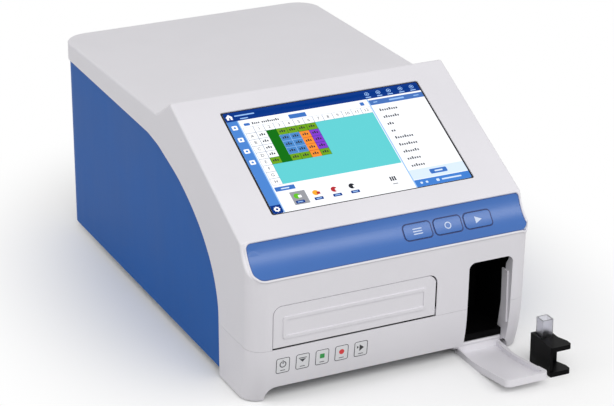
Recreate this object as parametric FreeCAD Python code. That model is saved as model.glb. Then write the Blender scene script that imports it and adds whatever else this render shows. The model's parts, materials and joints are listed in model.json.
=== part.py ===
import FreeCAD, Part
import math
import os
from FreeCAD import Placement, Rotation, Vector

# A bench-top microplate reader with a tilted touch screen, a front plate door,
# and a cuvette port whose door stands open with the cuvette holder beside it.
# Millimetres. While it is modelled, x = 0 is the middle of the body, y = 0 is near
# the front, +Y runs to the back, and z = 0 is the bench. The finished model is then
# moved so that its origin is the middle of its whole footprint.

# Body
body_width = 304.0
body_depth = 513.0
front_y = 2.2            # front face at chin height
chin_z = 132.0
front_rake = 0.0436      # how far the front leans back for each mm down
front_curve_z = 56.0     # below this the front curves back to the toe
toe_y = 17.0
front_corner_radius = 18.0
rear_corner_radius = 28.0
top_front_z = 225.0
top_rear_z = 221.0
shell_wall = 3.0
edge_radius = 2.5
far = 60.0               # how far cutting shapes run past the body

# Display housing
ridge_y = 196.0
ridge_z = 248.7
ridge_radius = 4.0
notch_y = 232.0
notch_radius = 14.0
shoulder_y = 28.0
shoulder_z = 164.7
shoulder_radius = 3.5

# Screen
screen_width = 220.3
screen_height = 138.1
screen_offset_x = 2.3
screen_from_shoulder = 26.2
screen_corner_radius = 2.5
glass_margin = 6.0
glass_thickness = 1.8
glass_recess = 1.2
display_thickness = 5.0
display_margin = 3.0
display_frame_thickness = 1.5
display_frame_margin = 13.0
display_frame_window = 25.0
fixing_margin = 10.0
boss_radius = 3.0
screw_radius = 1.6
screw_head_radius = 2.8
screw_head_height = 1.6

# Blue band below the screen, with its three buttons
band_foot_y = 1.6
band_foot_z = 134.0
band_sag = 5.6
band_left_margin = 5.5
band_right_margin = 2.5
band_left_radius = 11.0
band_right_radius = 4.5
band_foot_margin = 0.8
band_head_margin = 1.4
band_skin = 1.4
band_plug_margin = 5.0
band_plug_depth = 4.6
band_gap = 0.15
board_post_offset = 11.5
board_post_radius = 1.3
post_root = 3.0
button_count = 3
button_first_x = 32.0
button_pitch = 33.3
button_width = 29.0
button_height = 15.4
button_corner_radius = 3.6
button_from_foot = 21.0
button_gap = 0.45
button_proud = 0.5
button_travel = 1.2
button_flange = 1.4
button_flange_thickness = 1.2
button_stem_radius = 3.0
button_stem_length = 6.0
switch_size = 6.0
switch_height = 3.5
switch_gap = 0.3
board_thickness = 1.6

# Seam between the upper cover and the lower front
seam_z = 58.5
seam_gap = 0.3

# Blue side panels
panel_front_y = 82.0
panel_curve_centre_y = 312.0
panel_curve_z = 65.0
panel_curve_rise = 136.0
panel_curve_end_y = 256.0
panel_top_z = 203.0
panel_bottom_z = 8.5
panel_inset = 2.0
panel_thickness = 3.0
panel_gap = 0.4
panel_lip = 8.0
panel_back_reach = 32.0

# Lower front
arch_side_margin = 17.5
arch_z = 15.5
arch_radius = 12.0
skirt_z = 1.6
foot_floor = 4.0
foot_pad_width = 13.0
foot_pad_length = 60.0
foot_pad_inset = 3.5
foot_pad_front = 21.0
rear_foot_radius = 12.0
rear_foot_y = 455.0
rear_foot_inset = 34.0

# Touch keys
key_count = 5
key_first_x = -118.2
key_pitch = 20.85
key_width = 14.6
key_height = 17.2
key_z = 40.0
key_corner_radius = 2.4
key_thickness = 0.3

# Plate door
plate_door_left = -129.0
plate_door_right = 45.0
plate_door_bottom = 60.4
plate_door_top = 104.0
plate_door_gap_left = 0.7
plate_door_gap_right = 1.8
plate_door_gap_top = 0.7
plate_door_thickness = 2.6
plate_door_corner_radius = 9.0
plate_door_pin_z = 62.6
plate_door_pin_y = 7.4
plate_door_pin_radius = 1.0
plate_door_pin_depth = 8.0
plate_door_barrel_radius = 2.1
bead_inset_side = 10.0
bead_inset_end = 8.6
bead_width = 3.2
bead_height = 1.0
running_gap = 0.05
lug_size = 3.4
opening_lip = 0.9        # wall left at the edges that the gap round the plate door shows
opening_ledge = 3.0

# Plate carriage and its drive
carriage_x = -41.75
carriage_setback = 188.0
carriage_front_y = plate_door_pin_y + carriage_setback
plate_length = 127.76
plate_width = 85.48
plate_clearance = 0.4
nest_border = 9.0
nest_floor_z = 79.0
nest_ledge = 9.0
nest_wall_height = 5.5
carriage_thickness = 4.0
carriage_tail_length = 86.0
carriage_tail_width = 124.0
rod_spacing = 100.0
rod_radius = 5.0
rod_z = 66.0
bush_length = 16.0
bush_wall = 3.0
bearing_block_width = 20.0
bearing_block_drop = 11.0
rod_front_y = 20.0
rod_rear_y = 400.0
rod_support_thickness = 6.0
rod_support_margin = 4.0
belt_x = 27.0
belt_width = 6.0
belt_thickness = 1.2
pulley_radius = 9.5
pulley_z = 43.0
pulley_width = 7.5
pulley_rim = 1.3
pulley_rim_width = 1.2
idler_y = 30.0
drive_y = 412.0
motor_size = 42.0
motor_length = 38.0
motor_shaft_radius = 2.5
idler_pin_radius = 2.5
clamp_gap = 0.3
clamp_length = 14.0
clamp_wall = 3.0
clamp_from_nest = 44.0
block_from_nest = 18.0
rod_support_rise = 7.5
finger_width = 40.0

# Optics above and below the plate
head_rod_radius = 4.0
head_rod_front_y = 220.0
head_rod_rear_y = 256.0
head_z = 130.0
head_size_x = 32.0
head_size_z = 22.0
head_travel = 49.5
head_screw_y = 270.0
head_screw_radius = 3.0
lens_tube_radius = 7.0
lens_tube_bottom_z = 101.0
lens_tube_y = 238.0
lens_radius = 5.0
post_side_gap = 18.0
post_right_x = 44.0
post_thickness = 8.0
post_front_y = 211.0
post_rear_y = 279.0
post_top_z = 142.0
small_motor_size = 28.0
small_motor_length = 32.0
detector_count = 12
detector_pitch = 9.0
detector_bar_top_z = 51.5
detector_bar_height = 10.0
detector_bar_depth = 14.0
detector_lens_radius = 3.0
detector_lens_height = 1.5

# Light source
deck_front_y = 296.0
deck_rear_y = 450.0
deck_side_gap = 20.0
deck_right_x = 66.0
deck_z = 108.0
deck_thickness = 2.0
column_radius = 5.0
column_inset = 8.0
case_side_gap = 30.0
case_right_x = -8.0
case_front_y = 304.0
case_rear_y = 420.0
case_height = 62.0
case_wall = 3.0
beam_y = 370.0
beam_z = 158.0
beam_radius = 5.0
wheel_x = 0.0
wheel_thickness = 4.0
wheel_radius = 26.0
wheel_centre_z = 140.0
wheel_hole_radius = 5.0
wheel_hole_count = 8
wheel_motor_radius = 10.0
wheel_motor_length = 18.0
lamp_left_x = 28.0
lamp_right_x = 62.0
lamp_depth = 50.0
lamp_height = 44.0
lamp_fin_count = 6
lamp_fin_pitch = 7.6
wheel_bracket_x = 6.0

# Chassis and electronics
tray_side_gap = 5.3
tray_front_y = 19.0
tray_rear_y = 505.9
tray_z = 12.0
tray_thickness = 1.5
tray_flange = 24.0
tray_corner = 22.0
tray_front_corner = 18.0
tray_port_side = 9.0
tray_port_back = 8.0
standoff_height = 8.0
standoff_radius = 3.0
main_board_left = -105.0
main_board_right = 8.0
main_board_front = 262.0
main_board_rear = 376.0
supply_side_gap = 12.0
supply_width = 56.0
supply_front = 300.0
supply_rear = 455.0
supply_height = 46.0

# Rear panel
rear_panel_y = 506.2
rear_panel_thickness = 1.5
rear_panel_tuck = 2.0
rear_panel_top = 211.0
rear_screw_inset = 10.0
fan_size = 60.0
fan_depth = 15.0
fan_x = -70.0
fan_z = 120.0
fan_blades = 7
fan_hub_radius = 14.0
fan_swing_radius = 27.5
grille_hole_radius = 2.6
grille_pitch = 7.4
grille_rings = 3
vent_count = 9
vent_width = 46.0
vent_height = 3.2
vent_pitch = 8.0
vent_x = 60.0
vent_z = 130.0
inlet_x = 88.0
inlet_z = 48.0
inlet_width = 27.0
inlet_height = 20.0
inlet_depth = 20.0
rocker_z = 80.0
rocker_width = 19.0
rocker_height = 13.0
rocker_swing = 12.0
rocker_pin_radius = 1.2
rocker_clearance = 0.9
io_x = -60.0
io_z = 48.0

# Cuvette port
port_width = 49.0
port_side_margin = 21.0
port_top = 108.5
port_corner_radius = 7.0
port_collar = 2.0
port_collar_depth = 29.0        # depth of the white walls at the floor of the port
port_collar_shoulder = 16.0
port_collar_shoulder_z = 95.0
port_collar_top = 7.0
liner_wall = 1.6
liner_rear = 78.3
liner_lip_y = 21.2
liner_lip_bottom = 14.4
liner_floor_z = 21.6
cuvette_door_gap = 0.7
cuvette_door_pin_y = 24.5
cuvette_door_pin_z = 10.8
cuvette_door_pin_radius = 1.2
cuvette_door_open = 79.0
cuvette_door_skin = 2.4
cuvette_door_rim = 7.2
cuvette_door_rim_width = 4.4
cuvette_door_left_rim = 1.6
cuvette_door_bottom = 4.0
cuvette_door_rim_bottom = 9.5
cuvette_door_web = 2.6
knuckle_radius = 2.6
hinge_lug_thickness = 5.0
hinge_lug_wall = 1.4
hinge_lug_top = 19.6
bridge_thickness = 3.5
bridge_bottom = 6.0
bridge_top = 19.5
guide_bottom = 32.0
guide_top = 88.0
guide_thickness = 1.4
guide_front = 11.0
guide_depth = 10.5

# Cuvette holder, standing on the bench beside the door
holder_from_port = 9.6
holder_front = -60.0
holder_length = 40.0
holder_height = 32.0
holder_column_width = 19.0
holder_flange_width = 23.0
holder_column_length = 20.0
holder_flange_thickness = 5.0
holder_side_wall = 3.2
holder_corner = 1.5
well_size = 12.9
well_floor = 5.0
aperture_radius = 3.0
aperture_z = 13.5
cuvette_size = 12.5
cuvette_height = 45.0
cuvette_wall = 1.25
cuvette_corner = 0.9

half_width = body_width / 2
band_left = band_left_margin - half_width
band_right = half_width - band_right_margin
panel_back_end = half_width - panel_back_reach
rear_panel_half_width = panel_back_end + rear_panel_tuck
arch_half_width = half_width - arch_side_margin
rear_foot_x = half_width - rear_foot_inset
tray_half_width = half_width - tray_side_gap
supply_right = half_width - supply_side_gap
supply_left = supply_right - supply_width
post_left_x = post_side_gap - half_width
deck_left_x = deck_side_gap - half_width
case_left_x = case_side_gap - half_width
port_right = half_width - port_side_margin
port_left = port_right - port_width
holder_left = port_right + holder_from_port
nodes = {}


def at(plane, a, b, depth=0.0):
    """Point with the two coordinates of a drawing plane and its depth."""
    if plane == "yz":
        return Vector(depth, a, b)
    if plane == "xz":
        return Vector(a, depth, b)
    return Vector(a, b, depth)


def box(x0, x1, y0, y1, z0, z1):
    return Part.makeBox(x1 - x0, y1 - y0, z1 - z0, Vector(x0, y0, z0))


def rod(x, y, z, radius, length, direction):
    return Part.makeCylinder(radius, length, Vector(x, y, z), Vector(*direction))


def corner(before, here, after, radius):
    """Ends and middle of the arc that rounds one corner of an outline."""
    u = (before - here).normalize()
    v = (after - here).normalize()
    half = math.acos(max(-1.0, min(1.0, u.dot(v)))) / 2
    back = radius / math.tan(half)
    middle = here + (u + v).normalize() * (radius / math.sin(half) - radius)
    return here + u * back, middle, here + v * back


def outline(plane, corners, depth=0.0):
    """Closed wire through corners (a, b, radius), each rounded by a tangent arc."""
    spots = [at(plane, c[0], c[1], depth) for c in corners]
    count = len(spots)
    arcs = []
    for i in range(count):
        if corners[i][2] > 0:
            arcs.append(corner(spots[i - 1], spots[i], spots[(i + 1) % count], corners[i][2]))
        else:
            arcs.append((spots[i], None, spots[i]))
    edges = []
    for i in range(count):
        start, middle, end = arcs[i]
        if middle is not None:
            edges.append(Part.Arc(start, middle, end).toShape())
        following = arcs[(i + 1) % count][0]
        if end.distanceToPoint(following) > 1e-6:
            edges.append(Part.makeLine(end, following))
    return Part.Wire(edges)


def slab(wire, direction):
    return Part.Face(wire).extrude(Vector(*direction))


def rounded(plane, a0, a1, b0, b1, radius, depth0, depth1):
    """Rectangle with rounded corners, drawn in a plane and carried through a depth."""
    wire = outline(plane, [(a0, b0, radius), (a1, b0, radius), (a1, b1, radius), (a0, b1, radius)], depth0)
    run = depth1 - depth0
    return slab(wire, {"yz": (run, 0, 0), "xz": (0, run, 0), "xy": (0, 0, run)}[plane])


def group(shapes):
    return Part.makeCompound(shapes)


def turned(shape, centre, axis, degrees):
    copy = shape.copy()
    copy.rotate(centre, axis, degrees)
    return copy


def moved(shape, x=0.0, y=0.0, z=0.0):
    copy = shape.copy()
    copy.translate(Vector(x, y, z))
    return copy


# Lines of the body

def front_at(z):
    """Front face at a height, down to where it starts to curve back."""
    return front_y + (chin_z - z) * front_rake


def front_points(inset):
    """Points of the front line, top to toe: straight, then an arc to the toe."""
    lean = Vector(0, front_rake, -1).normalize()
    inward = Vector(0, 1, front_rake).normalize() * inset
    start = Vector(0, front_at(front_curve_z), front_curve_z)
    end = Vector(0, toe_y, 0)
    chord = end - start
    side = Vector(0, -lean.z, lean.y)
    radius = chord.dot(chord) / (2 * chord.dot(side))
    centre = start + side * radius
    sweep = math.asin(chord.dot(lean) / radius)
    middle = centre + turned_vector(start - centre, -sweep / 2)
    below = centre + turned_vector(start - centre, -sweep * 1.1)
    shrink = (radius - inset) / radius
    top = Vector(0, front_at(chin_z + 2 * far), chin_z + 2 * far) + inward
    return [top] + [centre + (p - centre) * shrink for p in (start, middle, below)]


def turned_vector(v, angle):
    """Turn a vector about the x axis."""
    c = math.cos(angle)
    s = math.sin(angle)
    return Vector(v.x, v.y * c + v.z * s, v.z * c - v.y * s)


def envelope(inset):
    """Plan of the body carried up its front line, with its four corners rounded."""
    top, start, middle, below = front_points(inset)
    back = body_depth - inset
    top_right = Vector(0, back, top.z)
    low_right = Vector(0, back, below.z)
    edges = [Part.makeLine(top, start), Part.Arc(start, middle, below).toShape(),
             Part.makeLine(below, low_right), Part.makeLine(low_right, top_right),
             Part.makeLine(top_right, top)]
    wire = Part.Wire(edges)
    wire.translate(Vector(inset - half_width, 0, 0))
    solid = slab(wire, (body_width - 2 * inset, 0, 0))
    front_edges = []
    rear_edges = []
    for edge in solid.Edges:
        limits = edge.BoundBox
        if limits.XLength > 1e-6 or limits.ZLength < 1:
            continue
        if limits.YLength < 1e-6:
            rear_edges.append(edge)
        elif limits.YMax < body_depth / 2:
            front_edges.append(edge)
    solid = solid.makeFillet(front_corner_radius - inset, front_edges)
    rear_edges = [e for e in solid.Edges if e.BoundBox.XLength < 1e-6 and e.BoundBox.YLength < 1e-6
                  and e.BoundBox.YMin > body_depth / 2]
    return solid.makeFillet(rear_corner_radius - inset, rear_edges)


def band_circle():
    """Centre and radius of the hollow curve of the band, seen from the side."""
    foot = Vector(0, band_foot_y, band_foot_z)
    head = Vector(0, shoulder_y, shoulder_z)
    chord = head - foot
    inward = Vector(0, chord.z, -chord.y).normalize()
    radius = (chord.Length ** 2 / 4 + band_sag ** 2) / (2 * band_sag)
    centre = (foot + head) * 0.5 + inward * (band_sag - radius)
    return centre, radius, foot, head


def cover_line():
    """Side view of the top of the body, as a closed wire that runs past it elsewhere."""
    centre, radius, foot, head = band_circle()
    ridge = Vector(0, ridge_y, ridge_z)
    slope = (ridge - head).normalize()
    inside = Vector(0, slope.z, -slope.y)
    # Centre of the small arc between the slope and the hollow of the band
    base = head + inside * shoulder_radius - centre
    along = base.dot(slope)
    reach = radius + shoulder_radius
    step = -along + math.sqrt(along ** 2 - base.dot(base) + reach ** 2)
    small = centre + base + slope * step
    small_start = centre + (small - centre).normalize() * radius
    small_end = small - inside * shoulder_radius
    small_middle = small + ((small_start - small).normalize()
                            + (small_end - small).normalize()).normalize() * shoulder_radius
    halfway = ((foot - centre).normalize() + (small_start - centre).normalize()).normalize()
    tangent = Vector(0, -(foot - centre).z, (foot - centre).y).normalize()
    if tangent.y > 0:
        tangent = tangent * -1
    ahead = foot + tangent * far
    top_drop = (top_front_z - top_rear_z) / (body_depth - notch_y)
    notch = Vector(0, notch_y, top_front_z)
    back = Vector(0, body_depth + far, top_front_z - (body_depth + far - notch_y) * top_drop)
    low_back = Vector(0, body_depth + far, -far)
    low_front = Vector(0, ahead.y, -far)
    ridge_arc = corner(small_end, ridge, notch, ridge_radius)
    notch_arc = corner(ridge, notch, back, notch_radius)
    return Part.Wire([
        Part.makeLine(ahead, foot),
        Part.Arc(foot, centre + halfway * radius, small_start).toShape(),
        Part.Arc(small_start, small_middle, small_end).toShape(),
        Part.makeLine(small_end, ridge_arc[0]),
        Part.Arc(*ridge_arc).toShape(),
        Part.makeLine(ridge_arc[2], notch_arc[0]),
        Part.Arc(*notch_arc).toShape(),
        Part.makeLine(notch_arc[2], back),
        Part.makeLine(back, low_back),
        Part.makeLine(low_back, low_front),
        Part.makeLine(low_front, ahead),
    ])


def under_cover_line(inset):
    """Everything below the top of the body, or below its inner face."""
    wire = cover_line()
    if inset > 0:
        wire = wire.makeOffset2D(-inset)
    wire.translate(Vector(-half_width - far, 0, 0))
    return slab(wire, (body_width + 2 * far, 0, 0))


def panel_region(grow, x0, x1):
    """The part of the side that the blue panel covers, grown by a margin."""
    spread = panel_curve_centre_y - panel_front_y + grow
    rise = panel_curve_rise + grow
    end_angle = math.acos((panel_curve_centre_y - panel_curve_end_y) / spread)
    spots = []
    steps = 8
    for i in range(steps + 1):
        angle = end_angle * i / steps
        spots.append(Vector(x0, panel_curve_centre_y - spread * math.cos(angle),
                            panel_curve_z + rise * math.sin(angle)))
    curve = Part.BSplineCurve()
    curve.interpolate(spots, InitialTangent=Vector(0, 0, 1),
                      FinalTangent=Vector(0, spread * math.sin(end_angle), rise * math.cos(end_angle)))
    top_back = Vector(x0, body_depth + far, panel_top_z + grow)
    low_back = Vector(x0, body_depth + far, -far)
    low_front = Vector(x0, spots[0].y, -far)
    edges = [curve.toShape(), Part.makeLine(spots[-1], top_back), Part.makeLine(top_back, low_back),
             Part.makeLine(low_back, low_front), Part.makeLine(low_front, spots[0])]
    return slab(Part.Wire(edges), (x1 - x0, 0, 0))


# Slope and band frames: local drawings are made flat and then laid on the body

def slope_placement():
    """Local x stays x, local y runs up the screen slope, local z points out of it."""
    head = Vector(0, shoulder_y, shoulder_z)
    rise = Vector(0, ridge_y - shoulder_y, ridge_z - shoulder_z)
    angle = math.degrees(math.atan2(rise.z, rise.y))
    return Placement(head, Rotation(Vector(1, 0, 0), angle))


def band_placement():
    """Local y runs up the chord of the band, local z points out of it."""
    centre, radius, foot, head = band_circle()
    rise = head - foot
    angle = math.degrees(math.atan2(rise.z, rise.y))
    return Placement(foot, Rotation(Vector(1, 0, 0), angle))


def laid(shape, placement):
    copy = shape.copy()
    copy.transformShape(placement.toMatrix())
    return copy


def band_layer(depth0, depth1):
    """Layer between two depths behind the hollow face of the band."""
    centre, radius, foot, head = band_circle()
    run = band_right - band_left + 2 * far
    outer = rod(band_left - far, centre.y, centre.z, radius + depth1, run, (1, 0, 0))
    inner = rod(band_left - far, centre.y, centre.z, radius + depth0, run, (1, 0, 0))
    return outer.cut(inner)


def band_window(margin):
    """Rounded outline of the band, seen square to its chord, as a deep prism."""
    chord = math.hypot(shoulder_y - band_foot_y, shoulder_z - band_foot_z)
    left = band_left + margin
    right = band_right - margin
    low = band_foot_margin + margin
    high = chord - band_head_margin - margin
    left_radius = band_left_radius - min(margin, band_left_radius / 2)
    right_radius = band_right_radius - min(margin, band_right_radius / 2)
    flat = slab(outline("xy", [(left, low, left_radius), (right, low, right_radius),
                               (right, high, right_radius), (left, high, left_radius)], -far), (0, 0, 2 * far))
    return laid(flat, band_placement())


def button_windows(grow, depth0, depth1):
    """One rounded prism per button, square to the chord of the band."""
    prisms = []
    for i in range(button_count):
        x = button_first_x + i * button_pitch
        flat = rounded("xy", x - button_width / 2 - grow, x + button_width / 2 + grow,
                       button_from_foot - button_height / 2 - grow,
                       button_from_foot + button_height / 2 + grow,
                       button_corner_radius + grow, depth0, depth1)
        prisms.append(laid(flat, band_placement()))
    return prisms


def screen_prism(margin, out0, out1, radius):
    """Rounded rectangle around the screen, between two heights over the slope."""
    flat = rounded("xy", screen_offset_x - screen_width / 2 - margin,
                   screen_offset_x + screen_width / 2 + margin,
                   screen_from_shoulder - margin, screen_from_shoulder + screen_height + margin,
                   radius, out0, out1)
    return laid(flat, slope_placement())


def port_prism(grow, y0, y1):
    """Shape of the cuvette opening, which runs out at the bottom of the front."""
    wire = outline("xz", [(port_left - grow, -far, 0), (port_right + grow, -far, 0),
                          (port_right + grow, port_top + grow, port_corner_radius + grow),
                          (port_left - grow, port_top + grow, port_corner_radius + grow)], y0)
    return slab(wire, (0, y1 - y0, 0))


def collar_region(grow):
    """Everything in front of the slanted line where the white port walls end."""
    wire = outline("yz", [(-far, -far, 0), (port_collar_depth + grow, -far, 0),
                          (port_collar_depth + grow, liner_floor_z, 0),
                          (port_collar_shoulder + grow, port_collar_shoulder_z, 0),
                          (port_collar_top + grow, port_top, 0), (port_collar_top + grow, 2 * far, 0),
                          (-far, 2 * far, 0)], -half_width - far)
    return slab(wire, (body_width + 2 * far, 0, 0))


def plate_door_prism(left, right, bottom, top, radius, y0, y1):
    wire = outline("xz", [(left, bottom, 0), (right, bottom, 0), (right, top, radius), (left, top, radius)], y0)
    return slab(wire, (0, y1 - y0, 0))


# Casings

def perimeter_edges(solid, one, other):
    """Edges of a solid that lie on the skins of both shapes it was cut from."""
    found = []
    for edge in solid.Edges:
        if edge.Length < 0.05:
            continue
        middle = Part.Vertex(edge.valueAt((edge.FirstParameter + edge.LastParameter) / 2))
        if middle.distToShape(one.Shells[0])[0] < 1e-3 and middle.distToShape(other.Shells[0])[0] < 1e-3:
            found.append(edge)
    return found


def body_skin():
    """Hollow skin of the whole body, before it is divided into mouldings."""
    around = envelope(0)
    under = under_cover_line(0)
    outer = around.common(under)
    outer = outer.makeFillet(edge_radius, perimeter_edges(outer, around, under))
    inner = envelope(shell_wall).common(under_cover_line(shell_wall))
    return outer, inner


def mouldings():
    """White upper cover and lower front, divided at the seam."""
    collar = port_prism(port_collar, -far, port_collar_depth).common(outer_body).common(collar_region(0))
    lug_top = plate_door_pin_z + lug_size
    left_end = plate_door_left - plate_door_gap_left
    right_end = plate_door_right + plate_door_gap_right
    lug_left = box(left_end - lug_size, left_end, -far, plate_door_pin_y + lug_size, 0, lug_top)
    lug_right = box(right_end, right_end + lug_size, -far, plate_door_pin_y + lug_size, 0, lug_top)
    lugs = group([lug_left, lug_right]).common(outer_body)
    white = skin.fuse([collar] + lugs.Solids).cut(port_prism(0, -far, port_collar_depth + 1))
    white = white.cut(panel_region(0, -half_width - far, half_width + far))
    wide = (-half_width - far, half_width + far, -far, body_depth + far)
    cover = white.cut(box(*wide, -far, seam_z + seam_gap / 2))
    cover = cover.cut(plate_door_prism(left_end, right_end, 0, plate_door_top + plate_door_gap_top,
                                       plate_door_corner_radius + plate_door_gap_top, -far, far / 2))
    for x in (left_end - lug_size, right_end):
        cover = cover.cut(rod(x, plate_door_pin_y, plate_door_pin_z, plate_door_pin_radius + running_gap,
                              lug_size, (1, 0, 0)))
    behind_lip = envelope(opening_lip)
    side_ledge = box(right_end, right_end + opening_ledge, -far, far / 2, lug_top,
                     plate_door_top - plate_door_corner_radius)
    cover = cover.cut(behind_lip.common(side_ledge))
    cover = cover.cut(band_layer(-band_sag, band_skin).common(band_window(0)))
    cover = cover.cut(band_layer(-band_sag, band_plug_depth * 2).common(band_window(band_plug_margin)))
    cover = cover.cut(screen_prism(0, -glass_recess * 2, far, screen_corner_radius))
    cover = cover.cut(screen_prism(glass_margin + seam_gap, -far / 2, -glass_recess, screen_corner_radius))
    bosses = display_fixings(boss_radius, -display_depth(), -shell_wall + 0.5)
    cover = cover.fuse(bosses).cut(group(display_fixings(screw_radius, -display_depth() - 1, -shell_wall)))
    front = white.common(box(*wide, skirt_z, seam_z - seam_gap / 2))
    arch = outline("xz", [(-arch_half_width, -far, 0), (arch_half_width, -far, 0),
                          (arch_half_width, arch_z, arch_radius), (-arch_half_width, arch_z, arch_radius)], -far)
    front = front.cut(slab(arch, (0, 2 * far + panel_front_y, 0)))
    top_ledge = box(left_end, right_end, -far, far / 2, seam_z - opening_ledge, seam_z)
    front = front.cut(behind_lip.common(top_ledge))
    for side in (-1, 1):
        low, high = sorted((side * arch_half_width, side * half_width))
        floor = box(low, high, -far, panel_front_y, skirt_z, skirt_z + foot_floor).common(outer_body)
        front = front.fuse(floor.cut(panel_region(0, -half_width - far, half_width + far)))
    lug_left = port_left - hinge_lug_thickness
    lug_right = port_right
    bridge_y = cuvette_door_pin_y + knuckle_radius + hinge_lug_wall - 1
    bridge = box(lug_left, lug_right + hinge_lug_thickness, bridge_y, bridge_y + bridge_thickness,
                 bridge_bottom, bridge_top)
    front = front.fuse([hinge_lug(lug_left), hinge_lug(lug_right), bridge])
    front = front.cut(rod(port_left - far, cuvette_door_pin_y, cuvette_door_pin_z,
                          cuvette_door_pin_radius + running_gap, 2 * far + port_right - port_left, (1, 0, 0)))
    return cover, front.removeSplitter()


def hinge_lug(x):
    """Plate that hangs behind the front and carries one end of the cuvette door pin."""
    reach = knuckle_radius + hinge_lug_wall
    y = cuvette_door_pin_y
    z = cuvette_door_pin_z
    wire = outline("yz", [(y - reach, z - reach, reach - 0.1), (y + reach, z - reach, reach - 0.1),
                          (y + reach, hinge_lug_top, 1), (y - reach, hinge_lug_top, 1)], x)
    return slab(wire, (hinge_lug_thickness, 0, 0))


def display_depth():
    return glass_recess + glass_thickness + display_thickness


def display_fixings(radius, out0, out1):
    """Cylinders at the four corners of the display, square to the screen slope."""
    shapes = []
    for x in (-1, 1):
        for y in (0, 1):
            spot = Vector(screen_offset_x + x * (screen_width / 2 + fixing_margin),
                          screen_from_shoulder - fixing_margin + y * (screen_height + 2 * fixing_margin), out0)
            shapes.append(laid(Part.makeCylinder(radius, out1 - out0, spot), slope_placement()))
    return shapes


def display():
    front = -glass_recess
    nodes["display_glass"] = screen_prism(glass_margin, front - glass_thickness, front, screen_corner_radius)
    back = front - glass_thickness
    nodes["display_panel"] = screen_prism(display_margin, back - display_thickness, back, screen_corner_radius)
    back = back - display_thickness
    frame = screen_prism(display_frame_margin, back - display_frame_thickness, back, boss_radius)
    frame = frame.cut(group(display_fixings(screw_radius, back - far, back + 1)))
    nodes["display_frame"] = frame.cut(screen_prism(-display_frame_window, back - far, back + 1, boss_radius))
    back = back - display_frame_thickness
    heads = display_fixings(screw_head_radius, back - screw_head_height, back)
    shanks = display_fixings(screw_radius - running_gap, back, -shell_wall - 1)
    return [head.fuse(shank) for head, shank in zip(heads, shanks)]


def band():
    """Hollow blue band, its push buttons and the board behind them."""
    face = band_layer(0, band_skin).common(band_window(band_gap)).common(envelope(0))
    plug = band_layer(0, band_plug_depth).common(band_window(band_plug_margin + seam_gap))
    trim = face.fuse(plug)
    for prism in button_windows(button_gap, -far, far):
        trim = trim.cut(prism)
    chord_depth = band_sag + band_plug_depth
    post_back = chord_depth + button_flange_thickness + button_stem_length + button_travel + switch_gap
    post_back = post_back + switch_height
    posts = []
    for i in range(button_count - 1):
        x = button_first_x + (i + 0.5) * button_pitch
        for side in (-1, 1):
            y = button_from_foot + side * board_post_offset
            posts.append(laid(Part.makeCylinder(board_post_radius, post_back - chord_depth + post_root,
                                                Vector(x, y, -post_back)), band_placement()))
    nodes["band_trim"] = trim.fuse(posts)
    names = ["button_left", "button_middle", "button_right"]
    caps = button_windows(0, -far / 2, far / 8)
    flanges = button_windows(button_gap + button_flange, -far / 2, far / 8)
    for i in range(button_count):
        cap = caps[i].common(band_layer(-button_proud, band_plug_depth + seam_gap + button_flange_thickness))
        flange = flanges[i].common(band_layer(band_plug_depth + seam_gap,
                                              band_plug_depth + seam_gap + button_flange_thickness))
        x = button_first_x + i * button_pitch
        stem_end = -(post_back - switch_height - switch_gap - button_travel)
        stem = laid(Part.makeCylinder(button_stem_radius, button_stem_length + 1.5,
                                      Vector(x, button_from_foot, stem_end)), band_placement())
        nodes[names[i]] = cap.fuse([flange, stem])
    last_x = button_first_x + (button_count - 1) * button_pitch
    board = Part.makeBox(last_x - button_first_x + button_width + 2, 2 * board_post_offset + 5, board_thickness,
                         Vector(button_first_x - button_width / 2 - 1, button_from_foot - board_post_offset - 2.5,
                                -post_back - board_thickness))
    for i in range(button_count):
        x = button_first_x + i * button_pitch
        board = board.fuse(Part.makeBox(switch_size, switch_size, switch_height,
                                        Vector(x - switch_size / 2, button_from_foot - switch_size / 2, -post_back)))
    nodes["button_board"] = laid(board, band_placement())


def touch_keys():
    """Printed key labels, which lie on the curved front below the plate door."""
    grown = envelope(-key_thickness).cut(envelope(0))
    labels = []
    for i in range(key_count):
        x = key_first_x + i * key_pitch
        prism = rounded("xz", x - key_width / 2, x + key_width / 2, key_z - key_height / 2,
                        key_z + key_height / 2, key_corner_radius, -far, far / 2)
        labels.append(grown.common(prism))
    nodes["touch_keys"] = group(labels)


def side_panels():
    """Blue panels, which wrap round the rear corners and tuck behind the white cover."""
    def ring(inset, thickness):
        return envelope(inset).cut(envelope(inset + thickness))

    face = ring(panel_inset, panel_thickness).common(panel_region(-panel_gap, -half_width, half_width))
    lip_layer = ring(shell_wall + seam_gap, panel_inset + panel_thickness - shell_wall - seam_gap)
    lip = lip_layer.common(panel_region(panel_lip, -half_width, half_width))
    lip = lip.cut(panel_region(-panel_lip, -half_width, half_width))
    whole = face.fuse(lip)
    bottom = panel_bottom_z
    height = top_front_z - bottom
    for name, x in (("side_panel_left", -half_width - 1), ("side_panel_right", panel_back_end)):
        keep = Part.makeBox(half_width + 1 - panel_back_end, body_depth + 1, height,
                            Vector(x, 0, bottom))
        nodes[name] = whole.common(keep)


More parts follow.
